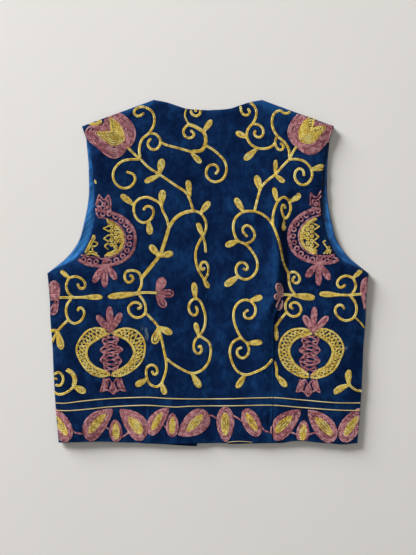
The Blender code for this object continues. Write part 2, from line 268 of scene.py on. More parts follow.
CREASES = (
    Crease((207, 338), (209, 402), 0.0060, 0.0006),
    Crease((224, 300), (222, 366), 0.0070, -0.0005),
    Crease((250, 322), (252, 384), 0.0065, -0.0006),
    Crease((262, 196), (258, 262), 0.0090, 0.0006),
    Crease((286, 226), (288, 268), 0.0045, -0.0009),
    Crease((288, 268), (284, 312), 0.0050, -0.0010),
    Crease((140, 222), (143, 264), 0.0060, -0.0007),
    Crease((152, 196), (134, 244), 0.0090, 0.0005),
    Crease((64, 264), (112, 288), 0.0080, 0.0007),
    Crease((356, 262), (310, 290), 0.0080, 0.0007),
    Crease((146, 416), (147, 442), 0.0040, -0.0006),
    Crease((266, 414), (268, 442), 0.0040, 0.0008),
    Crease((86, 424), (92, 442), 0.0070, 0.0005),
    Crease((312, 424), (306, 442), 0.0060, 0.0006),
    Crease((170, 112), (204, 132), 0.0090, 0.0004),
    Crease((262, 108), (296, 168), 0.0100, 0.0005),
    Crease((60, 346), (64, 400), 0.0080, 0.0005),
    Crease((352, 330), (346, 398), 0.0080, 0.0005),
)
# Strokes where the pile lies lighter or darker, and strokes of painted highlight and painted shadow, in
# photo pixels
NAP_STROKES_AND_PAINTED_LIGHT = (
    # Painted highlights on the raised shoulder edges
    Brush((120, 114), (148, 103), 3.4, 1.0),
    Brush((146, 104), (157, 101), 3.0, 0.9),
    Brush((252, 103), (262, 101), 3.2, 0.8),
    Brush((262, 102), (290, 112), 4.0, 0.9),
    Brush((266, 104), (276, 112), 5.0, 0.4),
    # Painted highlight along the ridge of the fold beside the right seam
    Brush((268, 200), (276, 262), 4.5, 0.30),
    Brush((276, 262), (272, 300), 4.0, 0.30),
    Brush((267, 300), (268, 398), 4.0, 0.22),
    # Painted highlight lines along the seams
    Brush((273.6, 345), (272.4, 400), 0.9, 0.80),
    Brush((271.3, 408), (269, 441), 1.0, 0.80),
    Brush((147.6, 408), (148, 441), 0.9, 0.60),
    # Lighter and darker patches
    Brush((264, 424), (270, 440), 4.0, 0.45),
    Brush((207, 346), (207, 396), 5.0, 0.28),
    Brush((238, 352), (244, 366), 5.0, -0.20),
    # Painted shadow in the valley of the fold beside the right seam and under its overhang
    Brush((284.5, 232), (287, 262), 2.2, -0.80),
    Brush((286.5, 262), (284.5, 310), 2.4, -0.80),
    Brush((276.8, 312), (276, 345), 1.3, -0.60),
    # Lighter and darker patches
    Brush((106, 150), (98, 190), 8.0, -0.25),
    Brush((172, 228), (184, 262), 12.0, 0.10),
    Brush((300, 180), (318, 176), 8.0, 0.16),
    Brush((350, 402), (352, 408), 4.0, 0.30),
    Brush((92, 438), (100, 441), 4.0, 0.25),
    Brush((330, 322), (344, 372), 8.0, -0.22),
    Brush((80, 400), (130, 398), 6.0, -0.14),
)

# Pale scuffs where the pile is rubbed, in photo pixels
SCUFFS = (
    Brush((141.5, 326), (142.0, 330), 0.7, 0.60),
    Brush((146.0, 329), (147.5, 335), 0.7, 1.30),
    Brush((148.0, 336), (147.0, 340), 0.6, 0.90),
    Brush((143.6, 335), (146.0, 338), 0.5, 0.70),
    Brush((344.5, 346.5), (346.0, 349.5), 0.6, 0.80),
)

# Creases of the bare lining that show light or dark, in photo pixels
LINING_BRUSHES = (
    Brush((92.5, 176), (94.5, 181), 1.2, -0.8),
    Brush((89.5, 150), (90.5, 172), 1.4, 0.5),
    Brush((90.5, 205), (88.0, 222), 1.5, 0.6),
    Brush((86.0, 224), (80.0, 240), 1.4, -0.6),
    Brush((82.0, 222), (75.5, 240), 1.2, 0.7),
    Brush((70.0, 250), (60.0, 262), 1.2, -0.7),
    Brush((76.0, 248), (66.0, 258), 1.1, 0.6),
    Brush((56.0, 264), (50.0, 269), 1.1, -0.6),
    Brush((327.0, 205), (329.5, 228), 1.4, 0.6),
    Brush((333.0, 240), (342.0, 252), 1.2, 0.7),
    Brush((336.0, 250), (348.0, 261), 1.1, -0.7),
    Brush((350.0, 258), (360.0, 266), 1.1, 0.5),
)

# Sideways bow of a stroke, as a share of its width
STROKE_BOW = 0.25

# Slow waves of the laid back: height and length in metres, direction and start in radians
WAVES = (
    (0.00034, 0.128, 0.35, 0.8), (0.00026, 0.091, 1.75, 2.1), (0.00022, 0.157, 2.70, 4.0),
)


def stroke(x: Array, y: Array, start: Spot, end: Spot, width: float) -> Array:
    """Bell across a short stroke, fading at its ends.

    Args:
        x: Places across, in metres.
        y: Places along, in metres.
        start: First end of the stroke, in photo pixels.
        end: Last end of the stroke, in photo pixels.
        width: Half width of the bell, in metres.

    Returns:
        From 0 away from the stroke to 1 on it.
    """
    foot, head = spot(*start), spot(*end)
    run = head - foot
    off_x, off_y = x - foot[0], y - foot[1]
    share = np.clip((off_x * run[0] + off_y * run[1]) / (run @ run), 0.0, 1.0)
    bow = STROKE_BOW * width * np.sin(2.0 * np.pi * share)
    length = math.hypot(*run)
    across = np.hypot(off_x - share * run[0] - bow * run[1] / length,
                      off_y - share * run[1] + bow * run[0] / length)
    return np.exp(-((across / width) ** 2))


def brushed(brushes: Sequence[Brush], x: Array, y: Array) -> Array:
    """Adds up the shades of several strokes at each place."""
    return sum(
        brush.shade * stroke(x, y, brush.start, brush.end, brush.width * METRES_PER_PIXEL)
        for brush in brushes
    )


@dataclass(frozen=True)
class Relief:
    """Heights of the laid waistcoat over the surface it lies on, in metres."""

    front_wall: float = 0.0020
    back_wall: float = 0.0028
    lining_wall: float = 0.0010
    rest_gap: float = 0.0003
    back_clearance: float = 0.0004
    lining_reach: float = 0.0330
    lining_fade: float = 0.0150
    side_puff: float = 0.0013
    side_puff_at: float = 0.0200
    side_puff_fade: float = 0.0900
    middle_sag: float = 0.0015
    middle_sag_width: float = 0.0240
    groove_depth: float = 0.0005
    groove_width: float = 0.0090
    fold_crest_in: float = 0.0130
    fold_spread: float = 0.0150
    seam_strip: float = 0.0025
    deepest_crease: float = 0.0004
    calm_edge: float = 0.0120
    fold_past_tip: float = 0.0100
    shoulder_cosine: float = 0.94
    side_line: Line = field(default_factory=lambda: Line(SIDE_SEAM))
    back_armhole: Line = field(default_factory=lambda: Line(BACK_ARMHOLE))
    front_armhole: Line = field(default_factory=lambda: Line(FRONT_ARMHOLE))
    left_seam: Line = field(default_factory=lambda: Line(LEFT_SEAM))
    right_seam: Line = field(default_factory=lambda: Line(RIGHT_SEAM))
    top_line: Line = field(default_factory=lambda: Line(BACK_TOP))

    def top_y(self, x: Array) -> Array:
        """Upper edge of the back: the dipped neckline, then the sloping shoulder."""
        side = np.abs(x)
        neck = np.interp(side, self.top_line.points[:, 0], self.top_line.points[:, 1])
        share = (side - NECK_HALF_WIDTH) / (SHOULDER_HALF_WIDTH - NECK_HALF_WIDTH)
        shoulder = GARMENT_HALF_LENGTH + share * (SHOULDER_Y - GARMENT_HALF_LENGTH)
        return np.where(side < NECK_HALF_WIDTH, neck, shoulder)

    def hem_y(self, x: Array) -> Array:
        """Lower edge of the back, with its wave."""
        return BACK_HEM_Y + read_table(HEM_WAVE, x)

    def drop_hem(self, x: Array, y: Array) -> Array:
        """Moves places near the hem by the hem's own wave."""
        fade = ease(1.0 - (y - BACK_HEM_Y) / HEM_WAVE_REACH)
        return y + fade * read_table(HEM_WAVE, x)

    def outer_x(self, y: Array) -> Array:
        """Half width of the back at a level."""
        return np.where(y < UNDERARM_Y, self.side_line.x_at(y), self.back_armhole.x_at(y))

    def seam_offset(self, x: Array, y: Array) -> Array:
        """Signed distance to the nearest long seam, above zero in the centre panel."""
        side = np.where(x < 0.0, self.left_seam.x_at(y), self.right_seam.x_at(y)) - np.abs(x)
        left = self.left_seam.distance(np.abs(x), y)
        right = self.right_seam.distance(np.abs(x), y)
        near = np.where(x < 0.0, left, right)
        tip = np.where(x < 0.0, self.left_seam.points[-1, 1], self.right_seam.points[-1, 1])
        return np.where((side > 0.0) | (y > tip), near, -near)

    def edge_distance(self, x: Array, y: Array) -> Array:
        """How far inside the back's outline a place is, below zero outside it."""
        sides = np.minimum(
            self.side_line.distance(np.abs(x), y), self.back_armhole.distance(np.abs(x), y)
        )
        within = (np.abs(x) < self.outer_x(y)) & (y < self.top_y(x)) & (y > self.hem_y(x))
        ends = np.minimum(np.abs(self.top_y(x) - y) * self.shoulder_cosine, np.abs(y - self.hem_y(x)))
        return np.where(within, 1.0, -1.0) * np.minimum(sides, ends)

    def fold(self, x: Array, y: Array) -> Array:
        """Raised fold of the centre panel beside its right seam, steep towards the seam."""
        inside = self.right_seam.x_at(y) - x
        height = read_table(FOLD_HEIGHT, y)
        edge = read_table(FOLD_EDGE_SHARE, y)
        climb = ease((inside - self.seam_strip) / (self.fold_crest_in - self.seam_strip))
        steep = height * (edge + (1.0 - edge) * climb)
        gentle = height * np.exp(-(((inside - self.fold_crest_in) / self.fold_spread) ** 2))
        raised = np.where(inside < self.fold_crest_in, steep, gentle)
        return np.where((inside < 0.0) | (y > RIGHT_TIP_Y + self.fold_past_tip), 0.0, raised)

    def waves(self, x: Array, y: Array) -> Array:
        """Slow uneven waves of the laid back, as in the solids."""
        total = np.zeros(np.shape(x))
        for height, length, angle, phase in WAVES:
            along = x * math.cos(angle) + y * math.sin(angle)
            total = total + height * (1.0 + np.sin(2.0 * np.pi * along / length + phase))
        return total

    def top(self, x: Array, y: Array) -> Array:
        """Height of the back's upper face.

        Args:
            x: Places across.
            y: Places along.

        Returns:
            The height of each place.
        """
        to_front = self.front_armhole.distance(np.abs(x), y)
        near = np.minimum(self.side_line.distance(np.abs(x), y), to_front)
        lift = (self.lining_wall + self.rest_gap) * ease(
            1.0 - (to_front - self.lining_reach) / self.lining_fade
        )
        puff = self.side_puff * ease(near / self.side_puff_at) * ease(
            1.0 - (near - self.side_puff_at) / self.side_puff_fade
        )
        rise = lift + puff + self.waves(x, y)
        straight_x = np.where(x < 0.0, LEFT_FRONT_EDGE_X, RIGHT_FRONT_EDGE_X)
        slant = np.clip((y - VEE_Y) / (GARMENT_HALF_LENGTH - VEE_Y), 0.0, 1.0)
        inside = straight_x + slant * (NECK_HALF_WIDTH - straight_x) - np.abs(x)
        sag = self.middle_sag * ease(inside / self.middle_sag_width)
        off = np.abs(self.seam_offset(x, y))
        groove = np.minimum(self.groove_depth * ease(1.0 - off / self.groove_width), rise)
        base = self.front_wall + self.back_clearance + self.back_wall
        creases = sum(
            crease.height * stroke(x, y, crease.start, crease.end, crease.width) for crease in CREASES
        )
        calm = ease(self.edge_distance(x, y) / self.calm_edge)
        shaped = base + rise - sag - groove + self.fold(x, y) + creases * calm
        return np.maximum(shaped, base - sag - self.deepest_crease)


class Side(Enum):
    """The two sides of the garment as seen from above, by the sign of their x."""

    LEFT = -1.0
    RIGHT = 1.0

    @property
    def word(self) -> str:
        """The side as the names of pieces and nodes spell it."""
        return self.name.lower()


class Thread(Enum):
    """The two embroidery threads, by the name of their material slot."""

    GOLD = "thread_gold"
    PINK = "thread_pink"


@dataclass(frozen=True)
class Vine:
    """A stem or curl: photo spots that it passes, rows of stitches side by side, and their girth."""

    through: tuple[Spot, ...]
    rows: int = 1
    girth: float = 1.50


@dataclass(frozen=True)
class Leaf:
    """A filled leaf or petal: photo spots of its base and tip, width and sideways bend in pixels.

    The last field is added to the tone of its thread: a painted highlight for petals that lie in the shade
    of a fold.
    """

    base: Spot
    tip: Spot
    width: float
    bend: float = 0.0
    painted_highlight: float = 0.0


@dataclass(frozen=True)
class Patch:
    """A filled form seen from its heart: photo spots of the heart and of its rim, anticlockwise."""

    heart: Spot
    rim: tuple[Spot, ...]

    def outline(self, share: float = 1.0, count: int = 240) -> Array:
        """Outline in metres at even turns about the heart.

        Args:
            share: Share of the way from the heart to the rim.
            count: Points round it.

        Returns:
            The closed outline.
        """
        off = smooth_points(spots((*self.rim, self.rim[0])), 8)[:-1] - spot(*self.heart)
        turn = np.linspace(-np.pi, np.pi, count, endpoint=False)
        radius = np.interp(turn, np.arctan2(off[:, 1], off[:, 0]), np.hypot(*off.T), period=2.0 * np.pi)
        return spot(*self.heart) + share * radius[:, None] * np.column_stack((np.cos(turn), np.sin(turn)))


@dataclass(frozen=True)
class Seed:
    """A hem leaf or its core: photo spots of its blunt end and point, half width and bend in pixels."""

    blunt: Spot
    point: Spot
    half_width: float
    bend: float = 0.0
    blunt_power: float = 0.50
    point_power: float = 0.85

    def outline(self, share: float = 1.0, count: int = 48) -> Array:
        """Closed outline in metres, from the point down one side and up the other.

        Args:
            share: Share of the full width.
            count: Points along each side.

        Returns:
            The closed outline.
        """
        foot, head = spot(*self.blunt), spot(*self.point)
        run = head - foot
        along = run / math.hypot(*run)
        across = np.array((-along[1], along[0]))
        place = 0.5 + 0.5 * np.cos(np.linspace(0.0, np.pi, count))
        swell = place**self.blunt_power * (1.0 - place) ** self.point_power
        widest = self.blunt_power / (self.blunt_power + self.point_power)
        swell /= widest**self.blunt_power * (1.0 - widest) ** self.point_power
        half = share * self.half_width * METRES_PER_PIXEL * swell
        bow = self.bend * METRES_PER_PIXEL * 4.0 * place * (1.0 - place)
        middle = foot + place[:, None] * run + bow[:, None] * across
        left = middle + half[:, None] * across
        right = middle - half[:, None] * across
        return np.vstack((left, right[-2:0:-1]))


class Needlework:
    """Collects rows of chain stitch worked on the flat back."""

    # Lengths and gaps in metres
    PITCH = 0.0034
    ROW_GAP = 0.0025
    RING_GAP = 0.0029
    ROW_HALF = 0.0012
    LEAF_SLIT = 0.0014
    CROWDED = 0.00135
    EDGE_MARGIN = 0.0011
    SEAM_MARGIN = 0.0012
    SHORTEST_STITCH = 0.0004
    # Shares of the usual stitch
    FINE_GIRTH = 0.85
    FINE_PITCH = 0.84
    LEAF_GIRTH = 0.96
    LEAF_PITCH = 0.92
    LEAF_MIDDLE_GIRTH = 0.90
    RING_GIRTH = 0.94
    SHORTEST_ROW = 0.4
    # How far a stitch strays from its row, as a slope
    WANDER = 0.07
    # A leaf's points and how they crowd to its tip, then shares of its length and width
    LEAF_POINTS = 28
    LEAF_CROWDING = 1.6
    LEAF_BASE = 0.32
    LEAF_SPREAD = 0.68
    LEAF_WIDEST = 0.60
    LEAF_ROUND_FROM = 0.68
    LEAF_ROUND = 0.32
    # Rings: part of a row that may stay bare, and the points and flatness of a small circle
    RING_SLACK = 0.35
    CIRCLE_POINTS = 20
    CIRCLE_SQUASH = 0.92

    def __init__(self, relief: Relief) -> None:
        """Starts with no stitch.

        Args:
            relief: Heights and outline of the back.
        """
        self.relief = relief
        self.chance = np.random.default_rng(11)
        self.stitches: dict[Thread, list[tuple[float, ...]]] = {thread: [] for thread in Thread}
        self.cells: dict[tuple[int, int], list[Spot]] = {}

    def _is_crowded(self, x: float, y: float) -> bool:
        """Tells whether another stitch lies almost on this place, and keeps the place if not."""
        column, row = int(x / self.CROWDED // 1), int(y / self.CROWDED // 1)
        for i in (column - 1, column, column + 1):
            for j in (row - 1, row, row + 1):
                for other in self.cells.get((i, j), ()):
                    if math.hypot(other[0] - x, other[1] - y) < self.CROWDED:
                        return True
        self.cells.setdefault((column, row), []).append((x, y))
        return False

    def row(self, line: Array, thread: Thread, closed: bool = False, girth: float = 1.0,
            pitch: float = 1.0, over_seam: bool = False, painted_highlight: float = 0.0) -> None:
        """Works one row of stitches along a line.

        Args:
            line: The line, in metres.
            thread: The thread it is worked in.
            closed: Whether the row runs back to its start.
            girth: Share of the usual stitch width.
            pitch: Share of the usual stitch length.
            over_seam: Whether it runs over the folded right seam without a break.
            painted_highlight: Added to the tone of each stitch, as a painted highlight.
        """
        if closed:
            line = np.vstack((line, line[:1]))
        length = float(np.hypot(*np.diff(line, axis=0).T).sum())
        if length < self.SHORTEST_ROW * self.PITCH * pitch:
            return
        count = max(1, round(length / (self.PITCH * pitch)))
        points = evenly(line, count)
        middles = 0.5 * (points[1:] + points[:-1])
        runs = points[1:] - points[:-1]
        steps = np.hypot(*runs.T)
        inside = self.relief.edge_distance(*middles.T) > self.EDGE_MARGIN
        off_seam = np.abs(self.relief.seam_offset(*middles.T)) > self.SEAM_MARGIN
        sewn = off_seam | (middles[:, 0] < 0.0) | over_seam
        for i in range(count):
            if not inside[i] or not sewn[i] or steps[i] < self.SHORTEST_STITCH:
                continue
            if self._is_crowded(*middles[i]):
                continue
            tone = self.chance.uniform(0.0, 1.0) + painted_highlight
            turn = self.chance.normal(0.0, self.WANDER)
            run = runs[i] / steps[i]
            run = run + turn * np.array((-run[1], run[0]))
            self.stitches[thread].append((*middles[i], *(run / math.hypot(*run)), steps[i], girth, tone))

    def vine(self, vine: Vine, thread: Thread = Thread.GOLD, over_seam: bool = False) -> None:
        """Works a stem in rows side by side."""
        line = smooth_points(spots(vine.through), 8)
        for row in range(vine.rows):
            offset = (row - 0.5 * (vine.rows - 1)) * self.ROW_GAP * vine.girth
            self.row(beside(line, offset), thread, girth=vine.girth, over_seam=over_seam)

    def leaf(self, leaf: Leaf, thread: Thread = Thread.GOLD) -> None:
        """Fills a leaf with rows that run up one side, round the tip and down the other."""
        foot, head = spot(*leaf.base), spot(*leaf.tip)
        run = head - foot
        length = math.hypot(*run)
        along = run / length
        across = np.array((-along[1], along[0]))
        share = 1.0 - (1.0 - np.linspace(0.0, 1.0, self.LEAF_POINTS)) ** self.LEAF_CROWDING
        rounding = np.clip(share - self.LEAF_ROUND_FROM, 0.0, 1.0) / self.LEAF_ROUND
        round_end = np.sqrt(np.clip(1.0 - rounding**2, 0.0, 1.0))
        swell = (self.LEAF_BASE + self.LEAF_SPREAD * ease(share / self.LEAF_WIDEST)) * round_end
        bow = leaf.bend * METRES_PER_PIXEL * 4.0 * share * (1.0 - share)
        outmost = 0.5 * leaf.width * METRES_PER_PIXEL - self.ROW_HALF
        count = 1 + max(0, round((outmost - self.LEAF_SLIT) / self.ROW_GAP))
        for ring, half in enumerate(np.linspace(outmost, self.LEAF_SLIT, count)):
            start = ring * 0.7 * self.PITCH
            reach = max(length - self.ROW_HALF - (outmost - half) - start, 0.3 * self.PITCH)
            place = foot + (start + reach * share)[:, None] * along + bow[:, None] * across
            side = (half * swell)[:, None] * across
            self.row(np.vstack((place + side, (place - side)[-2::-1])), thread,
                     girth=self.LEAF_GIRTH, pitch=self.LEAF_PITCH, painted_highlight=leaf.painted_highlight)
        if count == 1 and outmost > 1.25 * self.LEAF_SLIT:
            middle = foot + np.linspace(0.15, 0.80, 12)[:, None] * run
            self.row(middle, thread, girth=self.LEAF_MIDDLE_GIRTH, painted_highlight=leaf.painted_highlight)

    def rings(self, outer: Array, inner: Array, thread: Thread, wide: float = 0.75) -> None:
        """Fills between two closed outlines of as many points with closed rows.

        Args:
            outer: The outer outline, in metres.
            inner: The inner outline, or a line run there and back.
            thread: The thread it is worked in.
            wide: Quantile of the gap between them that the rows are counted by.
        """
        gap = float(np.quantile(np.hypot(*(outer - inner).T), wide))
        count = max(1, math.ceil(gap / self.RING_GAP - self.RING_SLACK))
        for ring in range(count):
            share = (ring + 0.5) / count
            between = outer * (1.0 - share) + inner * share
            self.row(between, thread, closed=True, girth=self.RING_GIRTH)

    def fine(self, line: Array, thread: Thread, closed: bool = False) -> None:
        """Works a row of the smaller stitches that netting and small rings are made of."""
        self.row(line, thread, closed=closed, girth=self.FINE_GIRTH, pitch=self.FINE_PITCH)

    def circle(self, centre: Spot, radius: float, thread: Thread) -> None:
        """Works a small closed ring round a photo spot, its radius in pixels."""
        turn = np.linspace(0.0, 2.0 * np.pi, self.CIRCLE_POINTS, endpoint=False)
        turn += self.chance.uniform(0.0, 1.0)
        ring = np.column_stack((np.cos(turn), self.CIRCLE_SQUASH * np.sin(turn)))
        self.fine(spot(*centre) + radius * METRES_PER_PIXEL * ring, thread, closed=True)


# Gold stems, curls and leaves of the upper left
UPPER_LEFT_VINES = (
    Vine(((127.5, 147.5), (134, 154), (141, 160))),
    Vine(((141, 160), (139.5, 150), (142.5, 139.5), (149, 134), (154.5, 124), (153, 113), (143.5, 107.5),
          (135.5, 110), (134.5, 114), (138.5, 117), (144, 114))),
    Vine(((150.5, 134), (155.5, 134.5), (160, 139), (160.5, 144.5), (157, 149.5), (152, 150),
          (148.3, 146), (148.5, 142), (151, 139.5))),
    Vine(((161, 143), (168, 146), (180, 149), (192, 152.5))),
    Vine(((193, 152), (202, 150.5), (205.5, 144), (206, 140), (204, 133), (195, 127), (189, 125)), 2, 1.0),
    Vine(((188, 125), (183.5, 131), (185.5, 137), (190.5, 138.5), (194.5, 135), (191, 131))),
    Vine(((189, 125), (185, 116), (187, 108)), 1, 1.0),
    Vine(((190.5, 109), (192, 114.5), (197, 116.5), (200.5, 113), (199, 108.5), (195.5, 109.5),
          (196, 112))),
    Vine(((206, 146), (213, 150), (219, 155), (225, 162), (226.5, 171), (222, 180), (213, 182),
          (206.5, 176), (208, 167), (215, 165), (218.5, 170), (215.5, 174))),
    Vine(((141, 160), (130, 160), (120.5, 163), (114, 172), (114.5, 181), (121, 188), (130, 187.5),
          (135.5, 180.5), (134, 175), (127.5, 172.5))),
    Vine(((141, 160), (149, 168), (160, 175), (176, 186), (187, 194), (193.5, 211))),
    Vine(((193.5, 211), (183, 213.5), (175, 219), (169, 228)), 2, 1.0),
    Vine(((193.5, 211), (200.5, 213.5), (206, 222), (205.5, 231), (200.5, 240), (196.5, 249),
          (195.8, 259), (198.5, 270), (204.5, 280))),
    Vine(((203, 237), (205, 244), (205.8, 252))),
    Vine(((204.5, 280), (208, 274), (208.3, 267), (205.5, 262), (202, 262.5), (200.5, 267),
          (202.5, 270.5), (204.5, 268))),
    Vine(((169, 228), (167, 219), (163, 211), (160.5, 204), (154, 200), (147, 197.5), (139, 199.5),
          (134.5, 205), (134.5, 213), (138, 220), (144, 223), (151, 219.5), (154, 212), (151, 207),
          (146, 207), (144, 210))),
    Vine(((169, 228), (165, 242), (160, 255), (151, 267), (141, 279)), 2, 1.0),
    Vine(((95.6, 180.6), (96.2, 183.6)), 1, 1.0),
)
UPPER_LEFT_LEAVES = (
    Leaf((160, 173.5), (162.5, 159), 7.4),
    Leaf((159, 176), (144.5, 182.5), 5.8),
    Leaf((190, 196), (188, 180), 6.0),
    Leaf((192, 154), (201.5, 163.5), 5.6),
    Leaf((203.5, 132), (212, 120), 5.8),
    Leaf((200.5, 213.5), (210, 201.5), 6.4),
    Leaf((202.5, 236), (197.5, 222.5), 5.4),
    Leaf((204, 279), (209, 288.5), 5.0),
    Leaf((161.5, 205), (163, 190), 7.2),
    Leaf((134, 205), (121, 195), 6.4),
    Leaf((149, 222), (150.5, 235), 6.6),
    Leaf((159, 256), (150, 245), 6.6),
    Leaf((161, 256), (173.5, 253), 6.6),
)
# Gold stems, curls and leaves of the lower left
LOWER_LEFT_VINES = (
    Vine(((142, 279), (139, 272.5), (132.5, 270.5), (126.5, 272), (125, 277.5), (128, 282.5),
          (132.5, 281), (133.5, 277), (130.5, 275.5))),
    Vine(((142, 279), (141.5, 286), (138, 292.5))),
    Vine(((138, 293), (147, 292.5), (157, 293))),
    Vine(((139.5, 295), (145, 303), (145.8, 312), (142, 316.5), (136, 317.5), (130, 313), (129, 307),
          (134, 302.5), (140, 303.5), (141.5, 307.5), (138, 308.5))),
    Vine(((146, 313), (152, 319), (158, 326), (162, 340), (165, 354), (166.5, 362), (166, 371),
          (162, 383))),
    Vine(((162, 383), (157, 386.5), (150.5, 384), (147, 377), (147, 368), (151.5, 364.5), (156.5, 367),
          (157.5, 372.5), (154, 374.5), (152.5, 371))),
    Vine(((166.5, 358), (171, 362), (181, 368.5), (192, 373), (202, 370), (208.5, 362), (211, 351),
          (209.5, 343), (205, 339), (199, 335.5))),
    Vine(((200, 335.5), (195.5, 339.5), (193.8, 346), (195.5, 352), (199, 353.5), (201.8, 350),
          (200.5, 345.5), (198.5, 347))),
    Vine(((200, 335.5), (204.5, 327), (205.5, 317), (203, 307), (200, 301), (195.5, 298.5), (191, 301),
          (188.8, 307), (190.5, 313), (195, 315.5), (197.8, 311), (196, 306.5))),
    Vine(((69.5, 278), (76, 276.5), (82.5, 279), (86, 284), (84, 288.5), (80, 288), (78.5, 284))),
    Vine(((69.5, 278), (67, 285), (68.5, 292), (73, 297))),
    Vine(((60, 297.5), (70, 297.5), (85, 297.3))),
    Vine(((72, 299), (68, 304), (66.8, 312), (69.5, 320), (75, 323.5), (82, 320), (85, 313),
          (83, 308.5), (79.5, 307.5), (78.5, 310.5))),
    Vine(((68.5, 320), (63, 325.5), (58, 331))),
    Vine(((59, 331), (55, 330.5), (51.5, 330.5)), 2, 1.0),
    Vine(((57, 333), (53.5, 340), (51.8, 346))),
    Vine(((55, 374), (59, 371.8), (63.2, 375), (63.8, 380.5), (60.5, 385.5), (56.5, 384.5))),
    Vine(((54.5, 379), (57, 377.5), (57.5, 379)), 1, 1.0),
    Vine(((68, 368.8), (73, 371.5), (76.5, 378), (75.5, 384), (71.5, 389), (65, 393), (59, 394),
          (55, 392))),
    Vine(((66.8, 370), (71.6, 373.2), (74.4, 378.6), (73.4, 385)), 1, 1.2),
)
LOWER_LEFT_LEAVES = (
    Leaf((140, 293.2), (108, 296.8), 6.4),
    Leaf((84, 297.2), (103.5, 297), 5.6),
    Leaf((158.5, 327), (172.5, 333.5), 7.0),
    Leaf((159, 328), (154, 344), 8.4),
    Leaf((162, 383), (165.5, 394.5), 6.2),
    Leaf((147, 379), (135.5, 385.5), 6.4),
    Leaf((192.5, 374), (200.5, 387.5), 6.8),
    Leaf((198.5, 335), (195.3, 322), 5.2),
    Leaf((195.5, 299), (194, 282), 6.0),
    Leaf((70, 278), (61, 270.5), 4.6),
    Leaf((58.5, 332), (62.5, 349.5), 7.4),
    Leaf((74, 385.5), (86.5, 392), 7.0),
)
# Gold stems, curls and leaves of the upper right
UPPER_RIGHT_VINES = (
    Vine(((296.5, 146.5), (292.5, 153), (289, 160))),
    Vine(((289, 160), (288.5, 150), (284, 142.5), (277.5, 137), (273, 129.5), (271.8, 121),
          (274.5, 113.5), (280.5, 111), (283, 113.5), (287, 114), (291.5, 111))),
    Vine(((276.5, 137.5), (274.8, 143), (277.5, 149.5), (281.5, 150.5), (283.5, 147), (280.5, 144))),
    Vine(((275.5, 139), (273.5, 145.5), (266, 149), (257, 148.5), (250, 144), (246.8, 137),
          (248, 129.5), (253.5, 123), (256.5, 114), (254.5, 107), (250.5, 103.5))),
    Vine(((253, 124.5), (259, 125.5), (263.2, 130.5), (262, 136.5), (257.5, 138), (253.8, 134),
          (255.5, 131.5))),
    Vine(((240.5, 107), (242, 113.5), (246.5, 116), (250, 112.5), (248, 109.5))),
    Vine(((289, 160), (297, 159.8), (305.5, 163), (311, 170.5), (311.3, 178), (306.5, 184.5),
          (300, 185), (295, 179.5), (295, 172.5), (299, 169), (303, 171.5), (303.5, 176))),
    Vine(((289, 160), (282.5, 166.5), (275.5, 174.5), (267, 181), (261, 188), (257.5, 199), (254.5, 211))),
    Vine(((254.5, 211.5), (244, 212), (236.5, 217), (233.3, 224.5), (234.2, 234), (238, 241),
          (245.5, 244.5), (252, 251.5), (257, 261), (256.5, 270.5), (251, 277.5), (244, 279.5),
          (238, 276), (235.8, 270), (238.5, 263.5), (244, 263), (247.8, 267), (246, 270.5),
          (243.5, 268.5))),
    Vine(((245.5, 244), (252, 241), (254.8, 235), (251, 227.5), (246, 225.5), (242.5, 229),
          (244, 233.5), (247, 236.5))),
    Vine(((254.5, 211.5), (262, 214.5), (270.5, 222), (276.5, 235), (280.5, 249), (283, 262),
          (288.3, 273.5))),
    Vine(((272.8, 226), (272.8, 216), (275.5, 206), (279.5, 199.5), (284, 197.5), (288.5, 201.5),
          (290.5, 208), (288.5, 215), (285, 219), (282, 213), (281.5, 207), (283.5, 204.8),
          (285, 208.5))),
)
UPPER_RIGHT_LEAVES = (
    Leaf((247, 138), (235.5, 132.5), 6.0),
    Leaf((256.5, 149.5), (244, 160.5), 6.8),
    Leaf((311, 170), (324.5, 167), 6.6),
    Leaf((275, 174), (275.7, 159.5), 4.2),
    Leaf((275, 175.5), (284.5, 183), 5.2),
    Leaf((260, 190.5), (256, 175.5), 7.0),
    Leaf((243.5, 212), (235, 198), 6.6),
    Leaf((238, 241), (225, 246), 6.4),
    Leaf((238, 276.5), (224.5, 286), 7.0),
    Leaf((276.5, 201), (273.5, 187.5), 5.2),
    Leaf((289, 202), (300.5, 194.5), 7.0),
    Leaf((285, 218), (283, 231.5), 4.6),
)
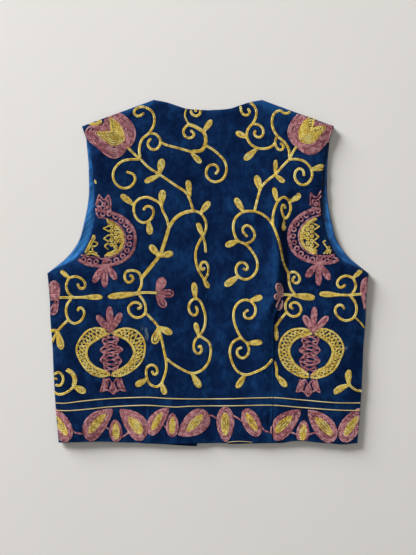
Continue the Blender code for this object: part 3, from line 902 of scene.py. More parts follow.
# Gold stems, curls and leaves of the lower right
LOWER_RIGHT_VINES = (
    Vine(((251, 301), (244.5, 299.8), (238, 303), (233.8, 311), (234, 321), (237.5, 331),
          (242, 338.5), (247, 343))),
    Vine(((250.5, 301), (254.8, 306), (255.3, 312.5), (251.5, 318), (246, 318), (243.8, 313.5),
          (248, 310))),
    Vine(((247, 343), (249, 349), (247, 355.5), (241.5, 358), (237, 353.5), (238, 348.5), (241.5, 347.5))),
    Vine(((240.5, 337.5), (233, 342), (229.8, 351), (232.5, 363), (238, 371.5), (246, 374.5),
          (256, 371.5), (266, 366), (272, 359), (273.5, 355))),
    Vine(((288.3, 273.5), (289, 283), (291.5, 290), (296, 295.5))),
    Vine(((288.3, 273.5), (293.5, 271.8), (298.5, 275.5), (299.5, 280.5), (295.5, 283.5), (292, 280),
          (294.5, 276.5))),
    Vine(((283, 294.5), (289, 294.8), (295, 295.5))),
    Vine(((290, 296.5), (285.5, 303), (286, 311), (291, 316), (297.5, 315.5), (301, 309.5),
          (298, 303.5), (292.5, 302.5), (289.5, 306.5), (292.5, 308.5))),
    Vine(((286, 312.5), (281.5, 318), (276.5, 325))),
    Vine(((336, 294.8), (348, 295), (360.5, 294))),
    Vine(((352.5, 278), (345.5, 275.8), (339, 278.5), (336.5, 284), (340, 287.8), (344.5, 285))),
    Vine(((352.5, 278), (355.3, 285), (353.5, 291), (350, 295))),
    Vine(((350, 296), (354.8, 302.5), (356, 310.5), (352.5, 318), (345, 320.5), (338, 317),
          (334.5, 310.5), (337, 305.5), (341.5, 305), (343.5, 308.5))),
    Vine(((354, 317), (360, 322.5), (364, 328.5), (363.8, 336), (363, 344)), 1, 1.0),
    Vine(((348.5, 384), (352, 387.5), (356, 390), (360.5, 390.5))),
    Vine(((274.5, 361), (276.5, 368), (276.5, 375))),
)
LOWER_RIGHT_LEAVES = (
    Leaf((293, 295.2), (315, 297.8), 6.8),
    Leaf((339, 294.8), (318.5, 293.8), 5.8),
    Leaf((250.5, 300.5), (262.5, 296.5), 6.2),
    Leaf((247.5, 343), (262.5, 341.8), 5.8),
    Leaf((245, 374.5), (236.5, 388), 6.2),
    Leaf((275.5, 325), (276.5, 341), 4.4),
    Leaf((277, 375.5), (286.5, 386.5), 6.4),
    Leaf((353, 277.5), (361.5, 270), 4.8),
    Leaf((348.5, 384), (348.5, 369), 6.6, 0.8),
    Leaf((348, 384.5), (333, 393), 6.6, -1.0),
)
# Pink petals that stand alone: side flowers, and the flower of the middle left
PINK_PETALS = (
    Leaf((157.5, 292), (164, 277.5), 9.6),
    Leaf((158, 293.5), (174.5, 293.5), 8.6),
    Leaf((157.5, 295), (165.5, 307.5), 8.4),
    Leaf((57.5, 302), (54, 280.5), 11.0),
    Leaf((59.5, 299.5), (49.5, 296), 7.0),
    Leaf((58, 301), (52.5, 315), 8.0),
    Leaf((366, 309), (366.5, 277), 13.6),
    # Flower in the fold beside the right seam, lightened by a painted highlight where it lies in shade
    Leaf((281.5, 296.5), (277.4, 282.8), 7.6, 0.0, 0.8),
    Leaf((282.5, 297), (273.4, 296.6), 7.0, 0.0, 0.8),
    Leaf((281.4, 298), (277.6, 310.6), 7.0, 0.0, 0.8),
)


@dataclass(frozen=True)
class ShoulderFlower:
    """Round pink flower on the shoulder with a gold core of two lobes."""

    petal: Patch
    core: Patch

    def work(self, needle: Needlework) -> None:
        """Works the core in gold, then pink rings outwards."""
        needle.rings(self.core.outline(), self.core.outline(0.06), Thread.GOLD)
        needle.rings(self.petal.outline(), self.core.outline(), Thread.PINK)


LEFT_SHOULDER = ShoulderFlower(
    Patch((114, 133), (
        (121, 113.5), (116, 114), (109.7, 116.5), (105, 118.5), (104.6, 122.5), (102.3, 126), (97.7, 126.3),
        (92, 126.6), (86.6, 128), (85.2, 131.5), (86.3, 136), (88.8, 141.7), (93.7, 145.3), (98.9, 149.7),
        (103.8, 154.3), (109, 157.8), (114.5, 159.7), (120, 157.7), (124, 154.3), (127.5, 149.5),
        (132, 145.7), (135, 141), (136.4, 136), (136, 130.5), (133.7, 125), (129.7, 120), (125.3, 116.2))),
    Patch((114, 133), (
        (109.7, 117.4), (110.3, 121.5), (110.7, 126), (111.2, 130), (110.5, 132.6), (103, 132.2),
        (96.3, 133.4), (102, 139), (106.9, 142.9), (111, 145.7), (116, 146.5), (121, 144.3), (125, 141),
        (125, 136), (123.6, 130.9), (121, 126.3), (117.7, 122.3), (113.7, 119.2))),
)
RIGHT_SHOULDER = ShoulderFlower(
    Patch((309, 133), (
        (313, 115), (306, 113.5), (299.5, 113), (296, 115.5), (292.8, 119), (290.3, 123), (288.3, 127),
        (287.1, 131), (287.2, 135.2), (288.8, 139.5), (291.5, 143.5), (295, 147), (299, 150.3),
        (303, 153.5), (307, 155.4), (311.5, 155.6), (316, 154), (320, 151), (323.5, 147.5), (326.3, 143.6),
        (330.5, 140.5), (332.5, 134), (334.3, 128), (334, 122), (326, 119), (319, 117))),
    Patch((309, 133), (
        (310.5, 116.8), (306, 119.3), (303, 122.5), (300.3, 126.3), (298.8, 130.5), (298.2, 135),
        (298.6, 139.5), (300.3, 142.8), (303.5, 144), (307.5, 144.6), (311.5, 144.2), (315, 142),
        (318, 138.5), (321, 134.6), (324, 131), (326.8, 127.2), (320.5, 126.8), (315.8, 127.8),
        (312, 129), (313, 124.5), (314.3, 118.6), (312.6, 116.8))),
)


@dataclass(frozen=True)
class CutFruit:
    """Pink fruit cut off by the armhole: a ring of small circles round a gold crescent."""

    centre: Spot
    side: Side
    rings: tuple[Spot, ...]
    seeds: tuple[Spot, ...]
    gold_lines: tuple[tuple[Spot, ...], ...]
    crown: tuple[tuple[Spot, ...], ...]
    crown_rings: tuple[Spot, ...]
    rim_end: tuple[Spot, ...]
    seat: tuple[Spot, ...]
    petals: tuple[Leaf, ...]
    outer: Spot = (39.2, 29.3)
    inner: Spot = (27.0, 19.7)
    fullness: float = 2.4
    row_insets: tuple[float, float] = (0.9, 2.4)
    last_inset: float = 3.9
    ring_radius: float = 2.3
    seed_radius: float = 1.65
    crown_ring_radius: float = 1.8
    end_row_gap: float = 0.0022

    def _arc(self, size: Spot, low: float, high: float, inset: float) -> Array:
        """Part of an ellipse about the centre, fuller below, turned towards the garment's middle.

        Args:
            size: Half width and half height in pixels.
            low: First angle in degrees from the middle of the garment, downwards below zero.
            high: Last angle.
            inset: How far it is drawn in, in pixels.

        Returns:
            The arc in metres.
        """
        turn = np.radians(np.linspace(low, high, 60))
        across, up = np.cos(turn), np.sin(turn)
        full = (np.abs(across) ** self.fullness + np.abs(up) ** self.fullness) ** (-1.0 / self.fullness)
        reach = np.where(up < 0.0, full, 1.0)
        px = self.centre[0] - self.side.value * (size[0] - inset) * across * reach
        py = self.centre[1] - (size[1] - inset) * up * reach
        return spots(np.column_stack((px, py)))

    def work(self, needle: Needlework) -> None:
        """Works rims, circles, crescent, crown and petals."""
        for inset in self.row_insets:
            needle.fine(self._arc(self.outer, -90, 92, inset), Thread.PINK)
        end = smooth_points(spots(self.rim_end), 8)
        for row in (0.0, self.end_row_gap):
            needle.fine(beside(end, self.side.value * row), Thread.PINK)
        needle.fine(self._arc(self.inner, -84, 88, -self.row_insets[0]), Thread.PINK)
        needle.fine(smooth_points(spots(self.seat), 8), Thread.PINK)
        for inset in self.row_insets:
            needle.fine(self._arc(self.inner, -66, 66, inset), Thread.GOLD)
        needle.fine(self._arc(self.inner, -66, -40, self.last_inset), Thread.GOLD)
        for place in self.rings:
            needle.circle(place, self.ring_radius, Thread.PINK)
        for line in self.gold_lines:
            needle.fine(spots(line), Thread.GOLD)
        for place in self.seeds:
            needle.circle(place, self.seed_radius, Thread.GOLD)
        for line in self.crown:
            needle.fine(spots(line), Thread.PINK)
        for place in self.crown_rings:
            needle.circle(place, self.crown_ring_radius, Thread.PINK)
        for petal in self.petals:
            needle.leaf(petal, Thread.PINK)


LEFT_CUT_FRUIT = CutFruit(
    centre=(98.0, 238.4),
    side=Side.LEFT,
    rings=((103.3, 214.3), (109.7, 214), (115.8, 217), (121.3, 221), (126.2, 225.2), (129.4, 230.6),
           (130, 237.5), (129.6, 244.3), (127.4, 250.6), (123, 255.8), (116.8, 260), (109.6, 261.8),
           (96.5, 261.8), (90, 261.2), (84.2, 259.6)),
    seeds=((112, 226.5), (112, 231), (112, 235.6), (112, 240.2), (112, 244.8), (116.3, 228.7),
           (116.3, 233.3), (116.3, 237.9), (116.3, 242.5), (115.8, 247), (120.2, 231.8), (120.3, 236.4),
           (120.1, 241)),
    gold_lines=(((109.6, 226), (104, 228.7), (109.4, 231.6)), ((109.3, 235), (104, 239), (109, 241.4)),
                ((109, 243.2), (104.6, 246.2), (108.6, 249.6)),
                ((109.6, 225.2), (107.2, 218.6), (113.4, 222.4)),
                ((110, 252), (105.4, 256.2), (113.5, 254.6)),
                ((85.8, 252.6), (89.6, 245.2), (93.4, 237.4)),
                ((88.6, 250.6), (91.6, 245.4), (94.4, 240.4)),
                ((94.4, 241.6), (98.8, 243.4), (96.2, 246.6), (93, 246.4)),
                ((92.6, 247.8), (93.6, 251.4)), ((86.4, 254.6), (93, 253.6), (99.4, 256.4)),
                ((87.6, 252.6), (93, 251.4), (97.4, 253.6)),
                ((93.4, 237.6), (94.2, 235.2), (96, 236.8), (94.8, 239.4))),
    crown=(((96.4, 205.5), (98.2, 199.5), (99.8, 194.6), (103, 199.8), (105.6, 200.2), (108.9, 195.2),
            (111, 200.5), (111.2, 205.5), (110.8, 210.5)),
           ((98.4, 204.4), (100, 199.4), (102.6, 202.6)), ((105.8, 202.6), (108.6, 199.4), (109, 206.4)),
           ((97.4, 206.4), (101.6, 206.8)), ((106.8, 206.8), (110.4, 207.4)),
           ((96.6, 209), (97, 213.6), (99.4, 217.6)), ((98.6, 211.6), (104, 211.4), (109.6, 211.6))),
    crown_rings=((104.2, 205), (100, 208.8), (106.6, 209.4)),
    rim_end=((98, 266.8), (90, 265.7), (84, 263.6), (79, 260.4)),
    seat=((103, 258.4), (98, 257.9), (90, 256.8), (82, 255.4)),
    petals=(Leaf((104, 264.5), (94, 283), 7.0), Leaf((105.5, 265), (105, 287.6), 6.8),
            Leaf((107.5, 264), (116.6, 280), 6.6), Leaf((106, 258), (105, 271), 7.4)),
)
RIGHT_CUT_FRUIT = CutFruit(
    centre=(326.2, 235.6),
    side=Side.RIGHT,
    rings=((317.6, 210.8), (311.4, 212.6), (305.8, 215.8), (300.6, 219.6), (296.4, 224), (293.6, 229.6),
           (292.8, 236.1), (293.8, 242.6), (296.6, 248.4), (300.6, 253.6), (306, 257.6), (312, 259.4),
           (323, 259.4), (329.4, 258.6), (335.2, 256.4)),
    seeds=((311.4, 222.6), (311.4, 227.2), (311.4, 231.8), (311.4, 236.4), (311.4, 241), (311.6, 245.6),
           (307.2, 224.9), (307.2, 229.5), (307.2, 234.1), (307.2, 238.7), (307.4, 243.3), (303.3, 228),
           (303.1, 232.6), (303.2, 237.2)),
    gold_lines=(((313.8, 224.2), (318.9, 226.6), (314, 229.8)), ((314, 233.4), (318.4, 237), (314, 240.2)),
                ((313.8, 242), (318.1, 245.4), (314, 248.8)),
                ((313.4, 222.4), (315.6, 216.6), (309.8, 219.6)),
                ((312, 250.4), (316.6, 254), (310, 252.6)),
                ((322.4, 241.6), (324.6, 245.4), (327, 248.2)), ((323.4, 241.2), (326.6, 240.8)),
                ((326.4, 241.8), (327.6, 245), (329, 248.2)), ((327.4, 249), (323.4, 253.8)),
                ((328.8, 249.4), (326.4, 253.8)), ((330.2, 250), (329.2, 253.8)),
                ((331, 250.8), (332.6, 253.4))),
    crown=(((310, 205.6), (309.8, 199), (310.6, 193), (314, 198), (317.2, 197), (320.4, 191.6)),
           ((312.2, 205.2), (312, 199.6), (314.6, 201), (318, 199.6), (320.6, 196.4)),
           ((318.8, 200.4), (319, 208)), ((320.7, 198.4), (320.7, 206)), ((320.6, 193.4), (320.6, 196)),
           ((311.4, 207.6), (315.6, 208.4), (320, 207.8)), ((316.4, 213.6), (320.4, 214.6))),
    crown_rings=((315.6, 204.4),),
    rim_end=((326.2, 264), (333, 262.9), (338, 261.2), (342, 259.4)),
    seat=((320.6, 256.3), (326.2, 256.2), (332, 255), (337.6, 252.8)),
    petals=(Leaf((316.5, 263.5), (305.8, 277.6), 6.8), Leaf((318, 264), (318.4, 285.8), 6.4),
            Leaf((319.5, 263.5), (329.6, 280), 6.6), Leaf((317.8, 257), (318, 270), 7.6)),
)


@dataclass(frozen=True)
class OpenFruit:
    """Gold fruit in two halves round a pink column, with a crown above and a skirt below."""

    halves: tuple[tuple[tuple[Spot, ...], tuple[Spot, ...]], ...]
    column: tuple[tuple[Spot, ...], tuple[Spot, ...]]
    crown: tuple[Leaf, ...]
    skirt: tuple[tuple[Spot, ...], ...]
    skirt_petals: tuple[Leaf, ...]
    net_turns: int = 20
    column_turns: int = 11
    net_slip: float = 0.00045
    rim_inset: float = 0.0016
    rim_girth: float = 1.15
    edge_insets: tuple[float, float] = (0.0010, 0.0030)
    net_insets: tuple[float, float] = (0.0034, 0.0044)

    def work(self, needle: Needlework) -> None:
        """Works the crown and skirt, the halves with their netting, then the column."""
        for petal in self.crown:
            needle.leaf(petal, Thread.PINK)
        for line in self.skirt:
            needle.fine(spots(line), Thread.PINK)
        for petal in self.skirt_petals:
            needle.leaf(petal, Thread.PINK)
        for outer, inner in self.halves:
            rim = smooth_points(spots(outer), 10)
            edge = smooth_points(spots(inner), 10)
            sign = 1.0 if rim[len(rim) // 2, 0] < edge[len(edge) // 2, 0] else -1.0
            needle.row(beside(rim, sign * self.rim_inset), Thread.GOLD, girth=self.rim_girth)
            for inset in self.edge_insets:
                needle.fine(beside(edge, -sign * inset), Thread.GOLD)
            outmost = beside(rim, sign * self.net_insets[0])
            inmost = beside(edge, -sign * self.net_insets[1])
            self._net(needle, outmost, inmost, self.net_turns, Thread.GOLD)
        left, right = (smooth_points(spots(line), 5) for line in self.column)
        for line in (left, right):
            needle.fine(line, Thread.PINK)
        self._net(needle, left, right, self.column_turns, Thread.PINK)

    def _net(self, needle: Needlework, one: Array, other: Array, turns: int, thread: Thread) -> None:
        """Works two rows that cross to and fro between two lines, their turns a little uneven.

        Args:
            needle: Collects the stitches.
            one: First line.
            other: Second line.
            turns: How often each row crosses from line to line.
            thread: The thread they are worked in.
        """
        ends = (evenly(one, turns), evenly(other, turns))
        for first in (0, 1):
            corners = np.array([ends[(i + first) % 2][i] for i in range(1, turns)])
            needle.fine(corners + needle.chance.normal(0.0, self.net_slip, corners.shape), thread)


LEFT_OPEN_FRUIT = OpenFruit(
    halves=(
        (((110.5, 331.5), (104, 328), (96.5, 327), (87, 330), (79, 340), (76, 349.5), (79, 359),
          (84, 367.5), (92, 374.5), (102, 377.3), (110.3, 375.5)),
         ((110.5, 334), (104.5, 336.5), (97.5, 340.5), (90.5, 345.5), (88, 352), (90, 359.5),
          (95.5, 365.5), (103, 369), (110, 371.8))),
        (((111.5, 332.5), (119, 328.5), (128, 327.3), (138, 330.5), (144.5, 338.5), (146.3, 348),
          (144, 359), (138, 367), (129, 373.5), (119, 377), (111.5, 376)),
         ((112, 334), (119, 337), (126.5, 340.5), (131.5, 346.5), (133.5, 352), (131, 358.5),
          (126, 364.5), (119, 368.8), (112.3, 372))),
    ),
    column=(
        ((110, 332), (105, 336.5), (102.8, 341), (105.5, 345), (100.8, 349.8), (105, 354), (100.8, 359.5),
         (104.5, 363.5), (104.8, 368), (110, 374)),
        ((111.5, 332), (116.5, 336.5), (119, 339.5), (116, 344), (123, 349.5), (117.5, 354),
         (121.8, 360.5), (118.3, 365.5), (117.5, 369), (112, 374)),
    ),
    crown=(Leaf((110.5, 332), (97.2, 315), 6.8), Leaf((110.5, 331), (109.8, 306), 7.0),
           Leaf((110.8, 332), (121.8, 312.5), 6.8)),
    skirt=(
        ((104.4, 378), (102.8, 385), (100.8, 391)), ((121.2, 378), (123.2, 384.5), (125.8, 390.6)),
        ((100.8, 391.6), (106.8, 389.2), (111, 391), (114, 394.2), (117, 391), (120.5, 389), (126, 391.2)),
        ((105.4, 380.2), (109.4, 378), (113, 384), (116.8, 378), (120.6, 380.2)),
    ),
    skirt_petals=(Leaf((108.4, 378), (103.6, 390), 6.0), Leaf((113, 383.5), (114, 392.6), 7.4),
                  Leaf((117.8, 378), (122.9, 389.6), 6.0)),
)
RIGHT_OPEN_FRUIT = OpenFruit(
    halves=(
        (((312, 331), (305.5, 328), (298.5, 327.5), (289.5, 329.5), (281.5, 336.5), (278, 347),
          (279.3, 358), (284.5, 367.5), (293, 374), (301.5, 377.5), (308.3, 377.8)),
         ((312, 334.3), (305, 336.5), (297, 339), (291.5, 345), (290, 352), (293, 359.5),
          (298.5, 366), (304, 369.8), (308.8, 373.5))),
        (((313.5, 331.5), (320, 327.8), (328.5, 328.8), (336.5, 333.5), (342.3, 341.5), (344, 349.5),
          (340.3, 360), (335, 369.5), (327, 375.5), (317.5, 378.5), (310.5, 378)),
         ((313.8, 334.3), (321, 338.3), (328, 343.5), (331.3, 351), (329, 359), (324, 365.8),
          (317.5, 369), (310.8, 374))),
    ),
    column=(
        ((311.5, 332.5), (304.8, 335.5), (301.6, 340), (304, 345), (299, 350), (304.5, 354.5),
         (300, 359.5), (301, 365), (304, 369.5), (308.3, 375)),
        ((313, 332.5), (316.8, 335.8), (318.2, 340), (316, 345), (319.7, 350.2), (315.2, 354.8),
         (319.6, 361), (314.5, 364.5), (315.6, 369), (310.3, 375)),
    ),
    crown=(Leaf((312.5, 331.5), (303.4, 315), 6.6), Leaf((312.6, 330.5), (314.3, 306.6), 6.4),
           Leaf((313, 331.5), (327.8, 316), 6.8)),
    skirt=(
        ((300, 379), (298, 385.5), (296.2, 391.2)), ((316, 379), (317.8, 385.5), (319.4, 391.2)),
        ((296.2, 391.8), (301.6, 390), (305, 392.6), (308, 396.6), (311, 392.6), (314, 390),
         (319.4, 391.8)),
        ((300.8, 380.8), (304.6, 379), (308.2, 385), (312, 379), (315.4, 380.8)),
    ),
    skirt_petals=(Leaf((303.4, 379), (299, 390.4), 6.0), Leaf((308.2, 384.5), (308, 395), 7.4),
                  Leaf((312.8, 379), (316.8, 390.4), 6.0)),
)


@dataclass(frozen=True)
class HemLeaf:
    """Pink leaf of the hem border with a gold core."""

    petal: Seed
    core: Seed

    def work(self, needle: Needlework) -> None:
        """Works the core in gold, then pink rings outwards."""
        needle.rings(self.core.outline(), self.core.outline(0.02), Thread.GOLD, wide=1.0)
        needle.rings(self.petal.outline(), self.core.outline(), Thread.PINK)


HEM_LEAVES = (
    HemLeaf(Seed((68, 441.2), (53.8, 407), 9.3, -1.0),
            Seed((67.5, 434.3), (55.5, 415.5), 3.7, 0.0, 0.5, 0.6)),
    HemLeaf(Seed((87.5, 439), (113.8, 408.8), 10.8, 3.9),
            Seed((89.8, 432), (105.6, 413.6), 3.9, 0.6, 0.5, 0.55)),
    HemLeaf(Seed((116.8, 441.3), (115.2, 418.8), 6.5, 0.0, 0.5, 0.7),
            Seed((117, 438.5), (115.8, 422.3), 3.6, 0.0, 0.5, 0.6)),
    HemLeaf(Seed((143.5, 439), (119.8, 408.8), 10.7, -3.6),
            Seed((141.5, 432.8), (129, 416.8), 5.2, -0.6, 0.5, 0.75)),
    HemLeaf(Seed((150, 434.3), (169.2, 407.5), 7.6, 2.6, 0.5, 0.75),
            Seed((152.6, 429.5), (161.9, 412.6), 3.4, 0.4, 0.55, 0.6)),
    HemLeaf(Seed((172.8, 437), (172.6, 411.8), 6.2, 0.0, 0.5, 0.7),
            Seed((171.8, 432.6), (173.1, 417), 3.5, 0.0, 0.5, 0.65)),
    HemLeaf(Seed((208, 412.8), (178.6, 434.8), 11.8, 0.4),
            Seed((202.4, 414.5), (187, 430.5), 4.2, 0.0, 0.55, 0.6)),
    HemLeaf(Seed((225.3, 406), (225.8, 442), 8.8, 0.0, 0.5, 0.70),
            Seed((225, 412.6), (225.3, 434.8), 4.4, 0.0, 0.5, 0.6)),
    HemLeaf(Seed((244.8, 408.6), (258.2, 435.8), 8.7, 0.0, 0.5, 0.5),
            Seed((246.2, 413), (256.6, 429.8), 3.5, 0.0, 0.5, 0.5)),
    HemLeaf(Seed((273.4, 438.3), (301, 409.6), 10.2, 2.4),
            Seed((275.5, 431.5), (291.5, 415.8), 4.6, 0.5, 0.5, 0.6)),
    HemLeaf(Seed((301.5, 442), (303.8, 419.4), 6.4, 0.0, 0.5, 0.7),
            Seed((301.8, 439.5), (303.6, 424), 3.6, 0.0, 0.5, 0.65)),
    HemLeaf(Seed((333.4, 440.6), (307.4, 409.4), 10.6, -1.6),
            Seed((331.2, 434), (315, 417.2), 4.4, -0.4, 0.5, 0.6)),
    HemLeaf(Seed((341.8, 441), (362, 406.5), 9.9, 1.0),
            Seed((344.3, 434.5), (357.5, 416.3), 3.8, 0.4, 0.5, 0.6)),
)
HEM_STEM_GIRTH = 0.95
HEM_STEMS = tuple(Vine(through, 1, HEM_STEM_GIRTH) for through in (
    ((73, 430), (77, 432.5), (83, 433)), ((104, 427), (107.5, 427.3), (110.8, 430)),
    ((121.5, 437.5), (125, 435), (129, 432)), ((161.5, 422.5), (165, 425.5), (167, 428)),
    ((177, 432), (179, 431.4), (181, 432)), ((205.5, 415.5), (211, 415), (217.5, 418.5)),
    ((233, 415), (237.5, 417.5), (241.5, 420.5)), ((261.5, 426.5), (264.5, 430), (269.5, 431.8)),
    ((287, 431.5), (291.5, 432), (296, 434)), ((306.5, 436), (311, 433), (316, 432.5)),
    ((336, 432), (338, 431.6), (340, 432)),
))

# Gold leaf that lies on the left shoulder flower
SHOULDER_LEAF = Leaf((88, 124.3), (102.8, 122.2), 6.4)

# Dull gold cords couched above the hem, and a short end on the hem itself: strand radius in metres,
# then photo spots
COUCHED_CORDS = {
    "couched_cord_upper": (0.00056, (
        (54.6, 402.6), (65, 402.8), (80, 401), (100, 399), (115, 398), (148, 397.0), (170, 398.2),
        (200, 398.6), (230, 398.4), (272, 397.3), (300, 399.4), (335, 402.3), (359.6, 402.6))),
    "couched_cord_lower": (0.00056, (
        (54.8, 410.0), (70, 410.1), (90, 408.5), (110, 406.5), (147, 405.0), (175, 406.6),
        (190, 405.8), (235, 405.4), (271, 404.8), (300, 407), (335, 409.5), (359.2, 410.2))),
    "couched_end": (0.00036, ((227.5, 441.8), (233, 441.2), (241, 440.9), (252, 441.8))),
}


def add_node(tree: bpy.types.NodeTree, kind: str, settings: dict[Any, Any] | None = None,
             links: dict[Any, bpy.types.NodeSocket] | None = None) -> bpy.types.Node:
    """Adds a shader node.

    Args:
        tree: The node tree.
        kind: The node's type name.
        settings: Values of its sockets, by name or number, or else of its own properties.
        links: Sockets that feed its inputs, by name or number.

    Returns:
        The new node.
    """
    node = tree.nodes.new(kind)
    for name, value in (settings or {}).items():
        if isinstance(name, int) or name in node.inputs:
            node.inputs[name].default_value = value
        else:
            setattr(node, name, value)
    for name, source in (links or {}).items():
        tree.links.new(source, node.inputs[name])
    return node


def linear(colour: str) -> tuple[float, float, float, float]:
    """Turns an sRGB hex colour to linear values with full cover."""
    values = [int(colour[i : i + 2], 16) / 255.0 for i in (0, 2, 4)]
    turned = [v / 12.92 if v <= 0.04045 else ((v + 0.055) / 1.055) ** 2.4 for v in values]
    return (*turned, 1.0)


def set_ramp(node: bpy.types.Node, stops: Sequence[tuple[float, str]]) -> None:
    """Gives a colour ramp its stops of place and sRGB colour."""
    ramp = node.color_ramp
    while len(ramp.elements) < len(stops):
        ramp.elements.new(0.5)
    for element, (place, colour) in zip(ramp.elements, stops):
        element.position = place
        element.color = linear(colour)


def start_material(name: str) -> tuple[bpy.types.Material, bpy.types.NodeTree, bpy.types.Node]:
    """Starts a material with its shader node."""
    material = bpy.data.materials.new(name)
    material.use_nodes = True
    tree = material.node_tree
    return material, tree, tree.nodes["Principled BSDF"]


def weighed_sum(tree: bpy.types.NodeTree,
                parts: Sequence[tuple[bpy.types.NodeSocket, float, float]]) -> bpy.types.NodeSocket:
    """Adds up several values, each measured from its middle and weighed.

    Args:
        tree: The node tree.
        parts: The socket, middle and weight of each value.

    Returns:
        The socket that carries the sum.
    """
    offset = -sum(middle * weight for _, middle, weight in parts)
    before: dict[Any, bpy.types.NodeSocket] = {}
    for source, _, weight in parts:
        node = add_node(tree, "ShaderNodeMath", {"operation": "MULTIPLY_ADD", 1: weight, 2: offset},
                        {0: source, **before})
        before = {2: node.outputs[0]}
    return before[2]


@dataclass(frozen=True)
class CottonVelvet:
    """Cotton velvet, woven pile cut short and crushed by wear.

    To the eye it is deep and matt, with cloudy lighter patches where the pile leans another way.
    """

    name: str = "cotton_velvet"
    deep: str = "051331"
    body: str = "0b2349"
    lit: str = "1a4678"
    rubbed: str = "8a9aa2"
    cloud_mm: float = 30.0
    streak_mm: tuple[float, float] = (8.0, 14.0)
    pile_mm: float = 1.2
    # Weights of the pile's strokes with their painted highlights and shadows, and of the painted shade
    # beside the stitches
    nap_and_painted_light_weight: float = 0.50
    pressed_weight: float = -0.16

    def make(self) -> bpy.types.Material:
        """Builds the nodes."""
        material, tree, shader = start_material(self.name)
        place = add_node(tree, "ShaderNodeTexCoord").outputs["Object"]
        clouds = add_node(tree, "ShaderNodeTexNoise", {
            "Scale": 1000.0 / self.cloud_mm, "Detail": 5.0, "Roughness": 0.62, "Distortion": 0.5,
        }, {"Vector": place})
        stretched = add_node(tree, "ShaderNodeMapping", {
            "Scale": (1000.0 / self.streak_mm[0], 1000.0 / self.streak_mm[1], 1.0),
            "Rotation": (0.0, 0.0, 0.10),
        }, {"Vector": place})
        streaks = add_node(tree, "ShaderNodeTexNoise", {
            "Scale": 1.0, "Detail": 3.0, "Roughness": 0.6, "Distortion": 0.8,
        }, {"Vector": stretched.outputs["Vector"]})
        # Pile ends are 0.1 mm; they are drawn 1.2 mm apart, so that they show in the render
        pile = add_node(tree, "ShaderNodeTexNoise", {
            "Scale": 1000.0 / self.pile_mm, "Detail": 2.0, "Roughness": 0.7,
        }, {"Vector": place})
        # Attributes: strokes of the pile with painted highlights and shadows, painted shade beside the
        # stitches, and rubbed wear
        nap_and_painted_light, painted_shade_by_stitches, rubbed = (
            add_node(tree, "ShaderNodeAttribute", {"attribute_name": name}).outputs["Fac"]
            for name in ("nap_and_painted_light", "painted_shade_by_stitches", "rubbed")
        )
        cloudy, streaky, piled = (noise.outputs["Fac"] for noise in (clouds, streaks, pile))
        lean = weighed_sum(tree, (
            (cloudy, 0.14, 1.20), (streaky, 0.5, 0.75), (piled, 0.5, 0.65),
            (nap_and_painted_light, 0.0, self.nap_and_painted_light_weight), (painted_shade_by_stitches, 0.0, self.pressed_weight),
        ))
        ramp = add_node(tree, "ShaderNodeValToRGB", links={"Fac": lean})
        set_ramp(ramp, ((0.10, self.deep), (0.45, self.body), (1.0, self.lit)))
        worn = add_node(tree, "ShaderNodeMix", {"data_type": "RGBA", 7: linear(self.rubbed)}, {
            0: add_node(tree, "ShaderNodeMath", {"operation": "MULTIPLY", "use_clamp": True},
                        {0: rubbed, 1: piled}).outputs[0],
            6: ramp.outputs["Color"],
        })
        crush = weighed_sum(tree, ((streaky, 0.5, 0.8), (cloudy, 0.5, 0.8), (piled, 0.5, 0.5)))
        bump = add_node(tree, "ShaderNodeBump", {"Strength": 0.5, "Distance": 0.0009}, {"Height": crush})
        tree.links.new(worn.outputs[2], shader.inputs["Base Color"])
        tree.links.new(bump.outputs["Normal"], shader.inputs["Normal"])
        shader.inputs["Roughness"].default_value = 0.85
        shader.inputs["IOR"].default_value = 1.45
        shader.inputs["Specular IOR Level"].default_value = 0.03
        shader.inputs["Sheen Weight"].default_value = 0.12
        shader.inputs["Sheen Roughness"].default_value = 0.45
        shader.inputs["Sheen Tint"].default_value = linear("2868c8")
        return material


